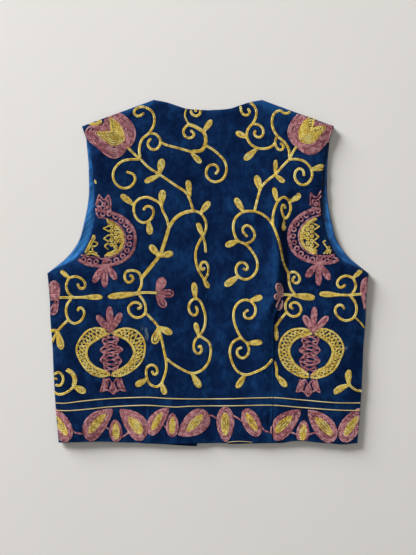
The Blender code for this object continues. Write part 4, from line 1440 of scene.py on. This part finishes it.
@dataclass(frozen=True)
class LiningSatin:
    """Satin weave lining, dyed mid blue: smooth floats that shine softly along the folds."""

    name: str = "satin_weave_lining"
    depth: str = "04162f"
    shade: str = "103a70"
    body: str = "1c5592"
    lit: str = "3078bc"
    fold_mm: float = 24.0
    rib_mm: float = 22.0
    # Weights of the painted shadow of the back's edge and of the painted light and shade on the folds
    painted_shadow_of_back_weight: float = -0.75
    painted_fold_light_weight: float = 0.35

    def make(self) -> bpy.types.Material:
        """Builds the nodes."""
        material, tree, shader = start_material(self.name)
        place = add_node(tree, "ShaderNodeTexCoord").outputs["Object"]
        folds = add_node(tree, "ShaderNodeTexNoise", {
            "Scale": 1000.0 / self.fold_mm, "Detail": 3.0, "Roughness": 0.5, "Distortion": 1.2,
        }, {"Vector": place})
        # Floats are 0.3 mm, too fine to show; soft wavy ribs run across them instead
        weave = add_node(tree, "ShaderNodeTexWave", {
            "Scale": 1000.0 / self.rib_mm, "Distortion": 1.5, "Detail": 2.0,
            "bands_direction": "DIAGONAL",
        }, {"Vector": place})
        # Painted shadow under the back's edge, and painted light and shade of the folds
        painted_shadow_of_back, painted_fold_light = (
            add_node(tree, "ShaderNodeAttribute", {"attribute_name": name}).outputs["Fac"]
            for name in ("painted_shadow_of_back", "painted_fold_light")
        )
        dimmed = add_node(tree, "ShaderNodeMath", {
            "operation": "MULTIPLY_ADD", 1: self.painted_shadow_of_back_weight,
        }, {0: painted_shadow_of_back, 2: folds.outputs["Fac"]})
        tone = add_node(tree, "ShaderNodeMath", {
            "operation": "MULTIPLY_ADD", 1: self.painted_fold_light_weight,
        }, {0: painted_fold_light, 2: dimmed.outputs[0]})
        ramp = add_node(tree, "ShaderNodeValToRGB", links={"Fac": tone.outputs[0]})
        set_ramp(ramp, ((0.02, self.depth), (0.30, self.shade), (0.52, self.body), (0.78, self.lit)))
        bump = add_node(tree, "ShaderNodeBump", {"Strength": 0.12, "Distance": 0.0004},
                        {"Height": weave.outputs["Fac"]})
        tree.links.new(ramp.outputs["Color"], shader.inputs["Base Color"])
        tree.links.new(bump.outputs["Normal"], shader.inputs["Normal"])
        shader.inputs["Roughness"].default_value = 0.46
        shader.inputs["IOR"].default_value = 1.5
        shader.inputs["Specular IOR Level"].default_value = 0.2
        return material


@dataclass(frozen=True)
class StrandedThread:
    """Stranded embroidery thread, loosely twisted and softly lustrous, dyed by hand in uneven lots."""

    name: str
    deep: str
    body: str
    lit: str
    roughness: float = 0.55
    lot_mm: float = 22.0

    def make(self) -> bpy.types.Material:
        """Builds the nodes."""
        material, tree, shader = start_material(self.name)
        place = add_node(tree, "ShaderNodeTexCoord").outputs
        lots = add_node(tree, "ShaderNodeTexNoise", {
            "Scale": 1000.0 / self.lot_mm, "Detail": 2.0, "Roughness": 0.5,
        }, {"Vector": place["Object"]})
        tone = add_node(tree, "ShaderNodeAttribute", {"attribute_name": "tone"}).outputs["Fac"]
        # Strands are 0.1 mm thick and twist round the thread; the loop's own map carries them
        strand_map = add_node(tree, "ShaderNodeUVMap", {"uv_map": "strands"}).outputs["UV"]
        strands = add_node(tree, "ShaderNodeTexWave", {
            "Scale": 3.0, "Distortion": 0.6, "Detail": 1.0, "bands_direction": "DIAGONAL",
        }, {"Vector": strand_map})
        mixed = add_node(tree, "ShaderNodeMath", {"operation": "MULTIPLY_ADD", 1: 0.75}, {
            0: tone,
            2: add_node(tree, "ShaderNodeMath", {"operation": "MULTIPLY", 1: 0.45},
                        {0: lots.outputs["Fac"]}).outputs[0],
        })
        ramp = add_node(tree, "ShaderNodeValToRGB", links={"Fac": mixed.outputs[0]})
        set_ramp(ramp, ((0.15, self.deep), (0.50, self.body), (0.95, self.lit)))
        bump = add_node(tree, "ShaderNodeBump", {"Strength": 0.35, "Distance": 0.00015},
                        {"Height": strands.outputs["Fac"]})
        tree.links.new(ramp.outputs["Color"], shader.inputs["Base Color"])
        tree.links.new(bump.outputs["Normal"], shader.inputs["Normal"])
        shader.inputs["Roughness"].default_value = self.roughness
        shader.inputs["IOR"].default_value = 1.5
        shader.inputs["Specular IOR Level"].default_value = 0.35
        shader.inputs["Sheen Weight"].default_value = 0.15
        return material


@dataclass(frozen=True)
class PaintedFloor:
    """Matt painted board, plain and pale."""

    name: str = "matt_painted_board"
    body: str = "eae8e5"
    tint: str = "e6e4e0"

    def make(self) -> bpy.types.Material:
        """Builds the nodes."""
        material, tree, shader = start_material(self.name)
        place = add_node(tree, "ShaderNodeTexCoord").outputs["Object"]
        grain = add_node(tree, "ShaderNodeTexNoise", {"Scale": 6.0, "Detail": 2.0}, {"Vector": place})
        tint = add_node(tree, "ShaderNodeMix", {
            "data_type": "RGBA", 6: linear(self.body), 7: linear(self.tint),
        }, {0: grain.outputs["Fac"]})
        tree.links.new(tint.outputs[2], shader.inputs["Base Color"])
        shader.inputs["Roughness"].default_value = 0.9
        shader.inputs["Specular IOR Level"].default_value = 0.1
        return material


@dataclass
class Wardrobe:
    """The finishes of the whole waistcoat, one material for each slot."""

    back_velvet: CottonVelvet = field(default_factory=CottonVelvet)
    # The fronts get a darker copy of the back's velvet: painted shade for the hem that shows below the back
    front_velvet: CottonVelvet = field(default_factory=lambda: CottonVelvet(
        name="cotton_velvet_front", deep="040b1e", body="0a1a3a", lit="163a66"))
    satin: LiningSatin = field(default_factory=LiningSatin)
    gold: StrandedThread = field(default_factory=lambda: StrandedThread(
        "stranded_thread_gold", "b08a26", "f5d44c", "fff09a"))
    pink: StrandedThread = field(default_factory=lambda: StrandedThread(
        "stranded_thread_pink", "78343e", "b86a73", "e8b0b4"))
    cord: StrandedThread = field(default_factory=lambda: StrandedThread(
        "couched_cord_dull_gold", "a08c50", "c8b478", "dccb94", 0.5))

    def make(self) -> dict[str, bpy.types.Material]:
        """Builds every material, by slot."""
        return {
            "velvet_back": self.back_velvet.make(),
            "velvet_front": self.front_velvet.make(),
            "satin_lining": self.satin.make(),
            "thread_gold": self.gold.make(),
            "thread_pink": self.pink.make(),
            "cord_gold": self.cord.make(),
        }


def pick_only(piece: bpy.types.Object) -> None:
    """Deselects everything, then selects one piece and makes it active."""
    bpy.ops.object.select_all(action="DESELECT")
    piece.select_set(True)
    bpy.context.view_layer.objects.active = piece


def corners_of(mesh: bpy.types.Mesh) -> Array:
    """Reads a mesh's vertices as rows of x, y and z."""
    flat = np.empty(len(mesh.vertices) * 3)
    mesh.vertices.foreach_get("co", flat)
    return flat.reshape(-1, 3)


def mark_points(mesh: bpy.types.Mesh, name: str, values: Array) -> None:
    """Gives every vertex a value that a finish reads by name."""
    mark = mesh.attributes.new(name, "FLOAT", "POINT")
    mark.data.foreach_set("value", values.astype(np.float32))


def add_object(name: str, data: bpy.types.ID) -> bpy.types.Object:
    """Puts a mesh, curve, light or camera into the scene as an object."""
    added = bpy.data.objects.new(name, data)
    bpy.context.scene.collection.objects.link(added)
    return added


def finish_piece(piece: bpy.types.Object, name: str, material: bpy.types.Material) -> None:
    """Names a piece, lets it ride on the body, and dresses it."""
    piece.name = name
    piece.data.name = name
    piece.data.materials.clear()
    piece.data.materials.append(material)
    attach(piece, "root")
    log.info("%s: %d faces", name, len(piece.data.polygons))


class ClothPanel:
    """A sheet of cloth laid out on a grid between two long edges."""

    name = "panel"
    node = "node"
    slot = "velvet_back"
    wall = 0.0026
    rim = 0.0011

    def __init__(self, relief: Relief) -> None:
        """Keeps the heights that the panel follows."""
        self.relief = relief

    def grid(self) -> tuple[Array, Array]:
        """Places across and along of every grid point, rows from the hem upwards."""
        raise NotImplementedError

    def heights(self, x: Array, y: Array) -> Array:
        """Height of the upper face."""
        return self.relief.top(x, y)

    def marks(self, x: Array, y: Array) -> dict[str, Array]:
        """Values that the finish reads at each grid point, by attribute."""
        return {}

    def build(self, material: bpy.types.Material, rests_on: Sequence[str]) -> bpy.types.Object:
        """Args:
            material: The cloth's finish.
            rests_on: Nodes or pieces that it lies on. Not used.

        Returns:
            The finished panel.
        """
        x, y = self.grid()
        z = self.heights(x, y)
        rows, columns = x.shape[0] - 1, x.shape[1] - 1
        bpy.ops.object.select_all(action="DESELECT")
        bpy.ops.mesh.primitive_grid_add(x_subdivisions=columns, y_subdivisions=rows, size=1.0)
        piece = bpy.context.object
        mesh = piece.data
        flat = corners_of(mesh)
        column = np.rint((flat[:, 0] + 0.5) * columns).astype(int)
        row = np.rint((flat[:, 1] + 0.5) * rows).astype(int)
        shaped = np.column_stack((x[row, column], y[row, column], z[row, column]))
        mesh.vertices.foreach_set("co", shaped.ravel())
        for name, values in self.marks(x, y).items():
            mark_points(mesh, name, values[row, column])
        mesh.update()
        pick_only(piece)
        wall = piece.modifiers.new("wall", "SOLIDIFY")
        wall.thickness = self.wall
        wall.offset = -1.0
        wall.use_even_offset = False
        bpy.ops.object.modifier_apply(modifier=wall.name)
        round_rim = piece.modifiers.new("round_rim", "BEVEL")
        round_rim.width = self.rim
        round_rim.segments = 3
        round_rim.limit_method = "ANGLE"
        round_rim.angle_limit = math.radians(55.0)
        bpy.ops.object.modifier_apply(modifier=round_rim.name)
        bpy.ops.object.shade_smooth()
        finish_piece(piece, self.name, material)
        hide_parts(self.node)
        return piece


class BackPanel(ClothPanel):
    """Velvet panel of the back, with marks of its pile, painted highlights and painted shade."""

    stitched: Array = np.zeros((0, 2))
    swell = 0.00045
    swell_edge = 0.0060
    cell = 0.0005

    def heights(self, x: Array, y: Array) -> Array:
        """The cloth swells a little between the rows of stitches."""
        calm = ease(self.relief.edge_distance(x, y) / self.swell_edge)
        return super().heights(x, y) + self.swell * (1.0 - self._near_stitches(x, y)) * calm

    def _near_stitches(self, x: Array, y: Array) -> Array:
        """From 0 away from the embroidery to 1 beside it."""
        cell = self.cell
        low_x, low_y = -0.24, -0.26
        wide, long = int(-2.0 * low_x / cell), int(-2.0 * low_y / cell)
        picture = np.zeros((long, wide))
        column = ((self.stitched[:, 0] - low_x) / cell).astype(int)
        row = ((self.stitched[:, 1] - low_y) / cell).astype(int)
        np.add.at(picture, (row, column), 1.0)
        reach = 5
        for axis in (0, 1):
            spread = np.zeros_like(picture)
            for step in range(-reach, reach + 1):
                spread += np.roll(picture, step, axis) * math.exp(-((step / 3.0) ** 2))
            picture = spread
        at_column = np.clip(((x - low_x) / cell).astype(int), 0, wide - 1)
        at_row = np.clip(((y - low_y) / cell).astype(int), 0, long - 1)
        return np.clip(picture[at_row, at_column] * 2.2, 0.0, 1.0)

    def marks(self, x: Array, y: Array) -> dict[str, Array]:
        """Strokes of the pile with painted highlights and shadows, painted highlights along the outline and
        seams, rubbed spots, and painted shade beside the embroidery.
        """
        # Painted highlights along the back's outline and beside its seams, where raised edges catch the
        # light
        edge = np.exp(-((np.abs(self.relief.edge_distance(x, y)) / 0.0032) ** 2))
        seam = np.exp(-((np.abs(self.relief.seam_offset(x, y)) / 0.0035) ** 2))
        return {
            "nap_and_painted_light": brushed(NAP_STROKES_AND_PAINTED_LIGHT, x, y) + 0.35 * edge + 0.12 * seam,
            "rubbed": brushed(SCUFFS, x, y),
            # Painted shade beside the embroidery, darkest among the stitches
            "painted_shade_by_stitches": self._near_stitches(x, y),
        }


def seam_points(line: Line, tip_y: float, skirt_rows: int, armhole_rows: int) -> Array:
    """Points of a long seam, from the hem up to its tip."""
    skirt = line.stretch(BACK_HEM_Y, SKIRT_TOP_Y, skirt_rows)
    return np.vstack((skirt, line.stretch(SKIRT_TOP_Y, tip_y, armhole_rows)[1:]))


class BackCentre(BackPanel):
    """Centre panel of the back, from the hem to the neckline and shoulders."""

    name = "velvet_back_centre"
    node = "back_centre"
    half_columns = 62
    skirt_rows = 72
    armhole_rows = 56
    yoke_rows = 34

    def grid(self) -> tuple[Array, Array]:
        """Rows run from seam to seam, then between the armholes."""
        edges = []
        for line, tip_y in ((self.relief.left_seam, LEFT_TIP_Y), (self.relief.right_seam, RIGHT_TIP_Y)):
            seam = seam_points(line, tip_y, self.skirt_rows, self.armhole_rows)
            yoke = self.relief.back_armhole.stretch(line.points[-1, 1], SHOULDER_Y, self.yoke_rows)
            edges.append(np.vstack((seam, yoke)))
        yoke_row = len(edges[0]) - 1 - self.yoke_rows
        strip = self.relief.seam_strip
        neck_share = NECK_HALF_WIDTH / (SHOULDER_HALF_WIDTH - strip)
        neck_step = self.half_columns // 2
        steps = np.arange(self.half_columns)
        shares = np.where(
            steps <= neck_step,
            neck_share * steps / neck_step,
            neck_share + (1.0 - neck_share) * (steps - neck_step) / (self.half_columns - 1 - neck_step),
        )
        sides = []
        for sign, edge in ((-1.0, edges[0]), (1.0, edges[1])):
            inner = shares[None, :] * (edge[:, :1] - strip)
            sides.append(sign * np.hstack((inner, edge[:, :1])))
        x = np.hstack((sides[0][:, ::-1], sides[1][:, 1:]))
        across = np.linspace(-1.0, 1.0, x.shape[1])[None, :]

        def blend(left: Array, right: Array) -> Array:
            """Blends a value of the left edge into that of the right edge."""
            return 0.5 * ((1.0 - across) * left + (1.0 + across) * right)

        y = blend(edges[0][:, 1:], edges[1][:, 1:])
        starts = [edge[yoke_row, 1] for edge in edges]
        climbs = [(edge[:, 1:] - start) / (SHOULDER_Y - start) for edge, start in zip(edges, starts)]
        climb = blend(*climbs)
        climbed = (1.0 - climb) * blend(*starts) + climb * self.relief.top_y(x)
        row = np.arange(len(edges[0]))[:, None]
        y = np.where(row > yoke_row, climbed, y)
        return x, self.relief.drop_hem(x, y)


class BackSide(BackPanel):
    """Side panel of the back, up to a narrow tip at the armhole."""

    columns = 46
    skirt_rows = 72
    armhole_rows = 56
    seam_gap = 0.0004

    def __init__(self, relief: Relief, side: Side) -> None:
        """Takes its side's names, seam and tip."""
        super().__init__(relief)
        self.side = side.value
        self.name = f"velvet_back_side_{side.word}"
        self.node = f"back_side_{side.word}"
        self.line = relief.left_seam if side is Side.LEFT else relief.right_seam
        self.tip_y = LEFT_TIP_Y if side is Side.LEFT else RIGHT_TIP_Y

    def grid(self) -> tuple[Array, Array]:
        """Rows run from the long seam to the side seam or armhole."""
        seam = seam_points(self.line, self.tip_y, self.skirt_rows, self.armhole_rows)
        inner = beside(seam, -self.seam_gap)
        skirt = self.relief.side_line.stretch(BACK_HEM_Y, UNDERARM_Y, self.skirt_rows)
        armhole = self.relief.back_armhole.stretch(
            UNDERARM_Y, self.line.points[-1, 1] - 2 * self.seam_gap, self.armhole_rows
        )
        outer = np.vstack((skirt, armhole[1:]))
        width = outer[:, 0] - inner[:, 0]
        strip = np.minimum(self.relief.seam_strip / width, 1.0 / self.columns)
        steps = np.arange(1, self.columns + 1)
        share = strip[:, None] + (1.0 - strip[:, None]) * (steps - 1)[None, :] / (self.columns - 1)
        share = np.hstack((np.zeros((len(share), 1)), share))
        x = self.side * (inner[:, :1] + share * width[:, None])
        y = inner[:, 1:] + share * (outer[:, 1:] - inner[:, 1:])
        if self.side < 0.0:
            x, y = x[:, ::-1], y[:, ::-1]
        return x, self.relief.drop_hem(x, y)


class Front(ClothPanel):
    """Front, face down on the surface, with its straight edge and slanting neck."""

    slot = "velvet_front"
    wall = 0.0020
    rim = 0.0007
    columns = 30
    hem_rows = 12
    skirt_rows = 52
    armhole_rows = 48

    def __init__(self, relief: Relief, side: Side) -> None:
        """Takes its side's names and hem."""
        super().__init__(relief)
        self.side = side.value
        self.name = f"velvet_front_{side.word}"
        self.node = f"front_{side.word}"
        self.hem = LEFT_FRONT_HEM if side is Side.LEFT else RIGHT_FRONT_HEM

    def heights(self, x: Array, y: Array) -> Array:
        """The front lies flat, so its upper face is one wall up."""
        return np.full(x.shape, self.wall)

    def grid(self) -> tuple[Array, Array]:
        """Rows run from the open edge to the side seam or armhole."""
        skirt = self.relief.side_line.stretch(BACK_HEM_Y, UNDERARM_Y, self.skirt_rows)
        armhole = self.relief.front_armhole.stretch(UNDERARM_Y, SHOULDER_Y, self.armhole_rows)
        outer = np.vstack((skirt, armhole[1:]))
        rows = len(outer) - 1
        vee_row = self.skirt_rows + self.armhole_rows // 3
        row = np.arange(rows + 1)
        hem_y = self.hem[0][1]
        inner_y = np.where(
            row <= vee_row,
            hem_y + (VEE_Y - hem_y) * row / vee_row,
            VEE_Y + (GARMENT_HALF_LENGTH - VEE_Y) * (row - vee_row) / (rows - vee_row),
        )
        slant = np.clip((inner_y - VEE_Y) / (GARMENT_HALF_LENGTH - VEE_Y), 0.0, 1.0)
        inner_x = self.hem[0][0] + slant * (NECK_HALF_WIDTH - self.hem[0][0])
        share = np.linspace(0.0, 1.0, self.columns + 1)[None, :]
        x = inner_x[:, None] + share * (outer[:, :1] - inner_x[:, None])
        y = inner_y[:, None] + share * (outer[:, 1:] - inner_y[:, None])
        fade = ease(1.0 - row / self.hem_rows)[:, None]
        y = y + fade * (read_table(self.hem, x[0]) - y[0])
        x = self.side * x
        return (x[:, ::-1], y[:, ::-1]) if self.side < 0.0 else (x, y)


class LiningBand(ClothPanel):
    """Satin lining of a front where it shows, a band along the armhole."""

    slot = "satin_lining"
    wall = 0.0009
    rim = 0.0004
    inset = 0.0008
    width = 0.0270
    columns = 14
    rows = 150

    def __init__(self, relief: Relief, side: Side) -> None:
        """Takes its side's names."""
        super().__init__(relief)
        self.side = side.value
        self.name = f"satin_lining_{side.word}"
        self.node = f"front_lining_{side.word}"

    def grid(self) -> tuple[Array, Array]:
        """Rows run across the band."""
        edge = self.relief.front_armhole.stretch(UNDERARM_Y, SHOULDER_Y, self.rows)
        outer = beside(edge, self.inset)
        inner = beside(edge, self.inset + self.width)
        share = np.linspace(0.0, 1.0, self.columns + 1)[None, :]
        x = self.side * (inner[:, :1] + share * (outer[:, :1] - inner[:, :1]))
        y = inner[:, 1:] + share * (outer[:, 1:] - inner[:, 1:])
        return (x[:, ::-1], y[:, ::-1]) if self.side < 0.0 else (x, y)

    def heights(self, x: Array, y: Array) -> Array:
        """The band lies on the front, with soft slanting folds where nothing covers it."""
        base = self.relief.front_wall + self.relief.rest_gap + self.relief.lining_wall
        bare = ease((np.abs(x) - self.relief.back_armhole.x_at(y)) / 0.006)
        slant = np.abs(x) * 0.8 + y
        folds = 0.5 + 0.5 * np.sin(2.0 * np.pi * slant / 0.034 + 2.2 * np.sin(y * 41.0) + self.side)
        sharp = np.sin(2.0 * np.pi * (slant + 0.4 * np.abs(x)) / 0.019 + 1.3 * np.sin(y * 67.0 + 2.0))
        edge = 0.0007 * ease(1.0 - self.relief.front_armhole.distance(np.abs(x), y) / 0.006)
        return base + bare * (0.0013 * folds**2 + 0.0005 * sharp**2 + edge)

    def marks(self, x: Array, y: Array) -> dict[str, Array]:
        """Painted shadow where the satin goes under the back's edge, and painted highlights and shade where
        folds catch the light, lighter over the whole left band.
        """
        off = self.relief.back_armhole.distance(np.abs(x), y)
        # Strength of the painted shadow of the back's edge, strong on the right; the whole left band is
        # brightened as painted light
        painted_shadow_strength, shine = (0.45, 0.90) if self.side < 0.0 else (0.85, 0.0)
        painted_fold_light = brushed(LINING_BRUSHES, x, y) + shine
        return {"painted_shadow_of_back": painted_shadow_strength * np.exp(-((off / 0.0022) ** 2)), "painted_fold_light": painted_fold_light}


@dataclass
class ChainStitch:
    """One loop of chain stitch, modelled once: a thread bent to a long ring, narrow where it starts."""

    pitch: float = 0.0034
    overlap: float = 0.0008
    half_width: float = 0.00132
    thread_radius: float = 0.00046
    round_steps: int = 8
    sides: int = 4
    narrow: float = 0.66
    lift: float = 0.00030

    def model(self) -> bpy.types.Object:
        """Models the loop about its middle, lying along +X."""
        bend = self.half_width - self.thread_radius
        bpy.ops.object.select_all(action="DESELECT")
        bpy.ops.mesh.primitive_torus_add(
            major_segments=self.round_steps, minor_segments=self.sides,
            major_radius=bend, minor_radius=self.thread_radius,
        )
        loop = bpy.context.object
        reach = self.pitch + self.overlap - 2.0 * bend
        bpy.ops.object.mode_set(mode="EDIT")
        self._select(loop, lambda co: co.x > 1e-6)
        bpy.ops.transform.translate(value=(0.5 * reach, 0.0, 0.00014))
        self._select(loop, lambda co: co.x < -1e-6)
        bpy.ops.transform.translate(value=(-0.5 * reach, 0.0, -0.00018))
        bpy.ops.transform.resize(value=(1.0, self.narrow, 1.0), center_override=(0.0, 0.0, 0.0))
        bpy.ops.object.mode_set(mode="OBJECT")
        return loop

    @staticmethod
    def _select(loop: bpy.types.Object, wanted: Any) -> None:
        """Selects the vertices whose place is wanted, in edit mode."""
        bpy.ops.mesh.select_mode(type="VERT")
        bpy.ops.mesh.select_all(action="DESELECT")
        shape = bmesh.from_edit_mesh(loop.data)
        for vertex in shape.verts:
            vertex.select = bool(wanted(vertex.co))
        shape.select_flush_mode()
        bmesh.update_edit_mesh(loop.data)

    def sew(self, name: str, stitches: Array, relief: Relief, loop: bpy.types.Object) -> bpy.types.Object:
        """Copies the loop to every stitch and joins the copies to one piece.

        Args:
            name: The piece's name.
            stitches: A row for each stitch: place, direction, length, girth and tone.
            relief: Heights of the back.
            loop: The modelled loop.

        Returns:
            The embroidery as one object.
        """
        source = loop.data
        corners = corners_of(source)
        wiring = np.empty(len(source.loops), dtype=np.int32)
        source.loops.foreach_get("vertex_index", wiring)
        strands = np.empty(len(source.loops) * 2, dtype=np.float32)
        source.uv_layers[0].data.foreach_get("uv", strands)
        x, y, run_x, run_y, step, girth, tone = stitches.T
        reach = 0.0009
        centre = relief.top(x, y)
        ahead = relief.top(x + reach * run_x, y + reach * run_y) - centre
        aside = relief.top(x - reach * run_y, y + reach * run_x) - centre
        slope_on = np.clip(ahead / reach, -1.2, 1.2)
        slope_by = np.clip(aside / reach, -1.2, 1.2)
        along = np.column_stack((run_x, run_y, slope_on))
        along /= np.linalg.norm(along, axis=1)[:, None]
        across = np.column_stack((-run_y, run_x, slope_by))
        across -= (across * along).sum(axis=1)[:, None] * along
        across /= np.linalg.norm(across, axis=1)[:, None]
        upward = np.cross(along, across)
        middle = np.column_stack((x, y, centre)) + self.lift * upward
        stretch = (step / self.pitch)[:, None, None]
        girth = girth[:, None, None]
        shape = (
            middle[:, None, :]
            + stretch * corners[None, :, 0:1] * along[:, None, :]
            + girth * corners[None, :, 1:2] * across[:, None, :]
            + 0.5 * (1.0 + girth) * corners[None, :, 2:3] * upward[:, None, :]
        )
        count, size_of_loop = len(stitches), len(corners)
        mesh = bpy.data.meshes.new(name)
        mesh.vertices.add(count * size_of_loop)
        mesh.vertices.foreach_set("co", shape.ravel())
        mesh.loops.add(count * len(wiring))
        offsets = np.arange(count)[:, None] * size_of_loop
        mesh.loops.foreach_set("vertex_index", (wiring[None, :] + offsets).ravel().astype(np.int32))
        faces = count * len(source.polygons)
        mesh.polygons.add(faces)
        mesh.polygons.foreach_set("loop_start", np.arange(faces, dtype=np.int32) * 4)
        mesh.update(calc_edges=True)
        mesh.uv_layers.new(name="strands").data.foreach_set("uv", np.tile(strands, count))
        mark_points(mesh, "tone", np.repeat(tone, size_of_loop))
        mesh.polygons.foreach_set("use_smooth", np.ones(faces, dtype=bool))
        mesh.update()
        return add_object(name, mesh)


@dataclass
class Embroidery:
    """All the chain stitch of the back."""

    relief: Relief
    stitch: ChainStitch = field(default_factory=ChainStitch)
    most_in_a_piece: int = 2600

    def plan(self) -> Needlework:
        """Works out every stitch on the flat."""
        needle = Needlework(self.relief)
        for vine in (*UPPER_LEFT_VINES, *LOWER_LEFT_VINES, *LOWER_RIGHT_VINES):
            needle.vine(vine)
        for vine in UPPER_RIGHT_VINES:
            needle.vine(vine, over_seam=True)
        for leaves in (UPPER_LEFT_LEAVES, LOWER_LEFT_LEAVES, UPPER_RIGHT_LEAVES, LOWER_RIGHT_LEAVES):
            for leaf in leaves:
                needle.leaf(leaf)
        for petal in PINK_PETALS:
            needle.leaf(petal, Thread.PINK)
        for motif in (LEFT_SHOULDER, RIGHT_SHOULDER, LEFT_CUT_FRUIT, RIGHT_CUT_FRUIT,
                      LEFT_OPEN_FRUIT, RIGHT_OPEN_FRUIT, *HEM_LEAVES):
            motif.work(needle)
        needle.leaf(SHOULDER_LEAF)
        for stem in HEM_STEMS:
            needle.vine(stem, Thread.PINK)
        return needle

    def build(self, needle: Needlework, dress: dict[str, bpy.types.Material]) -> list[bpy.types.Object]:
        """Sews the stitches of each thread, upper garment first, in pieces of a fair size.

        Args:
            needle: The planned stitches.
            dress: Materials by slot.

        Returns:
            The pieces.
        """
        loop = self.stitch.model()
        pieces = []
        for thread, listed in needle.stitches.items():
            stitches = np.array(sorted(listed, key=lambda one: -one[1]))
            parts = math.ceil(len(stitches) / self.most_in_a_piece)
            for number, part in enumerate(np.array_split(stitches, parts), 1):
                name = f"embroidery_{thread.name.lower()}_{number}"
                piece = self.stitch.sew(name, part, self.relief, loop)
                finish_piece(piece, name, dress[thread.value])
                pieces.append(piece)
            log.info("%s thread: %d stitches", thread.name.lower(), len(stitches))
        bpy.data.objects.remove(loop, do_unlink=True)
        return pieces


@dataclass
class CouchedCords:
    """Dull gold cords laid on the velvet and caught down, one twist of two strands each."""

    relief: Relief
    twist: float = 0.0052
    step: float = 0.0011

    def build(self, material: bpy.types.Material) -> list[bpy.types.Object]:
        """Lays each cord as two twisted strands, turned from curves to one mesh."""
        return [self._lay(name, *cord, material) for name, cord in COUCHED_CORDS.items()]

    def _lay(self, name: str, radius: float, line: Sequence[Spot],
             material: bpy.types.Material) -> bpy.types.Object:
        """Lays one cord.

        Args:
            name: The piece's name.
            radius: Radius of one strand.
            line: Photo spots that it passes.
            material: Its finish.

        Returns:
            The finished cord.
        """
        path = smooth_points(spots(line), 12)
        length = float(np.hypot(*np.diff(path, axis=0).T).sum())
        path = evenly(path, round(length / self.step))
        path = path[self.relief.edge_distance(*path.T) > 0.0004]
        height = self.relief.top(*path.T) + 0.8 * radius
        walked = np.arange(len(path)) * self.step
        curve = bpy.data.curves.new(name, "CURVE")
        curve.dimensions = "3D"
        curve.bevel_depth = radius
        curve.bevel_resolution = 1
        curve.use_fill_caps = True
        for start in (0.0, math.pi):
            turn = 2.0 * math.pi * walked / self.twist + start
            side = beside(path, 0.55 * radius) - path
            moved = path + side * np.cos(turn)[:, None]
            spline = curve.splines.new("POLY")
            spline.points.add(len(path) - 1)
            level = height + 0.45 * radius * np.sin(turn)
            points = np.column_stack((moved, level, np.ones(len(path))))
            spline.points.foreach_set("co", points.ravel())
        pick_only(add_object(name, curve))
        bpy.ops.object.convert(target="MESH")
        cord = bpy.context.object
        across = corners_of(cord.data)[:, 0]
        wander = 0.5 + 0.5 * np.sin(across * 71.0) * np.sin(across * 23.0 + 1.0)
        mark_points(cord.data, "tone", wander)
        bpy.ops.object.shade_smooth()
        finish_piece(cord, name, material)
        return cord


@dataclass
class Studio:
    """Pale floor, soft light from the upper left, and the camera straight above."""

    floor_size: float = 5.0
    camera_height: float = 1.8
    sensor: float = 36.0
    aim: Spot = (208.0, 277.5)

    def build(self) -> None:
        """Builds floor, lights, world and camera."""
        bpy.ops.object.select_all(action="DESELECT")
        bpy.ops.mesh.primitive_grid_add(x_subdivisions=4, y_subdivisions=4, size=self.floor_size,
                                        location=(0.0, 0.0, -0.0003))
        floor = bpy.context.object
        floor.name = "floor"
        floor.data.materials.append(PaintedFloor().make())
        self._area_light("window", (-4.00, 4.05, 1.88), 2.7, 716.0)
        self._area_light("ceiling", (0.25, -0.2, 2.6), 2.6, 9.5)
        world = bpy.data.worlds.new("studio")
        bpy.context.scene.world = world
        world.use_nodes = True
        sky = world.node_tree.nodes["Background"]
        sky.inputs["Color"].default_value = linear("faf3e9")
        sky.inputs["Strength"].default_value = 0.17
        self._camera()

    @staticmethod
    def _area_light(name: str, place: tuple[float, float, float], size: float, power: float) -> None:
        """Hangs a square light that faces the garment."""
        data = bpy.data.lights.new(name, "AREA")
        data.shape = "SQUARE"
        data.size = size
        data.energy = power
        lamp = add_object(name, data)
        lamp.location = place
        tilt = math.atan2(math.hypot(place[0], place[1]), place[2])
        lamp.rotation_euler = (tilt, 0.0, math.atan2(place[1], place[0]) + math.pi / 2)

    def _camera(self) -> None:
        """Puts the camera straight above the middle of the photograph."""
        data = bpy.data.cameras.new("camera")
        data.sensor_width = self.sensor
        data.lens = self.sensor * self.camera_height / (PHOTO_HEIGHT * METRES_PER_PIXEL)
        camera = add_object("camera", data)
        aim = spot(*self.aim)
        camera.location = (aim[0], aim[1], self.camera_height)
        bpy.context.scene.camera = camera


class Waistcoat:
    """The whole garment with its finishes."""

    def __init__(self) -> None:
        """Prepares heights and finishes."""
        self.relief = Relief()
        self.dress = Wardrobe().make()
        self.embroidery = Embroidery(self.relief)

    def build(self) -> None:
        """Builds panels, lining, embroidery and cords in order."""
        needle = self.embroidery.plan()
        BackPanel.stitched = np.array(
            [stitch[:2] for listed in needle.stitches.values() for stitch in listed]
        )
        for side in Side:
            Front(self.relief, side).build(self.dress["velvet_front"], ["floor"])
        for side in Side:
            LiningBand(self.relief, side).build(self.dress["satin_lining"], [f"front_{side.word}"])
        for side in Side:
            under = [f"front_{side.word}", f"front_lining_{side.word}"]
            BackSide(self.relief, side).build(self.dress["velvet_back"], under)
        BackCentre(self.relief).build(self.dress["velvet_back"], ["front_left", "front_right"])
        self.embroidery.build(needle, self.dress)
        CouchedCords(self.relief).build(self.dress["cord_gold"])


def main() -> None:
    """Builds the waistcoat and its studio."""
    logging.basicConfig(level=logging.INFO, format="%(name)s: %(message)s")
    Waistcoat().build()
    Studio().build()
    view = bpy.context.scene.view_settings
    view.view_transform = "Standard"


if __name__ == "__main__":
    main()
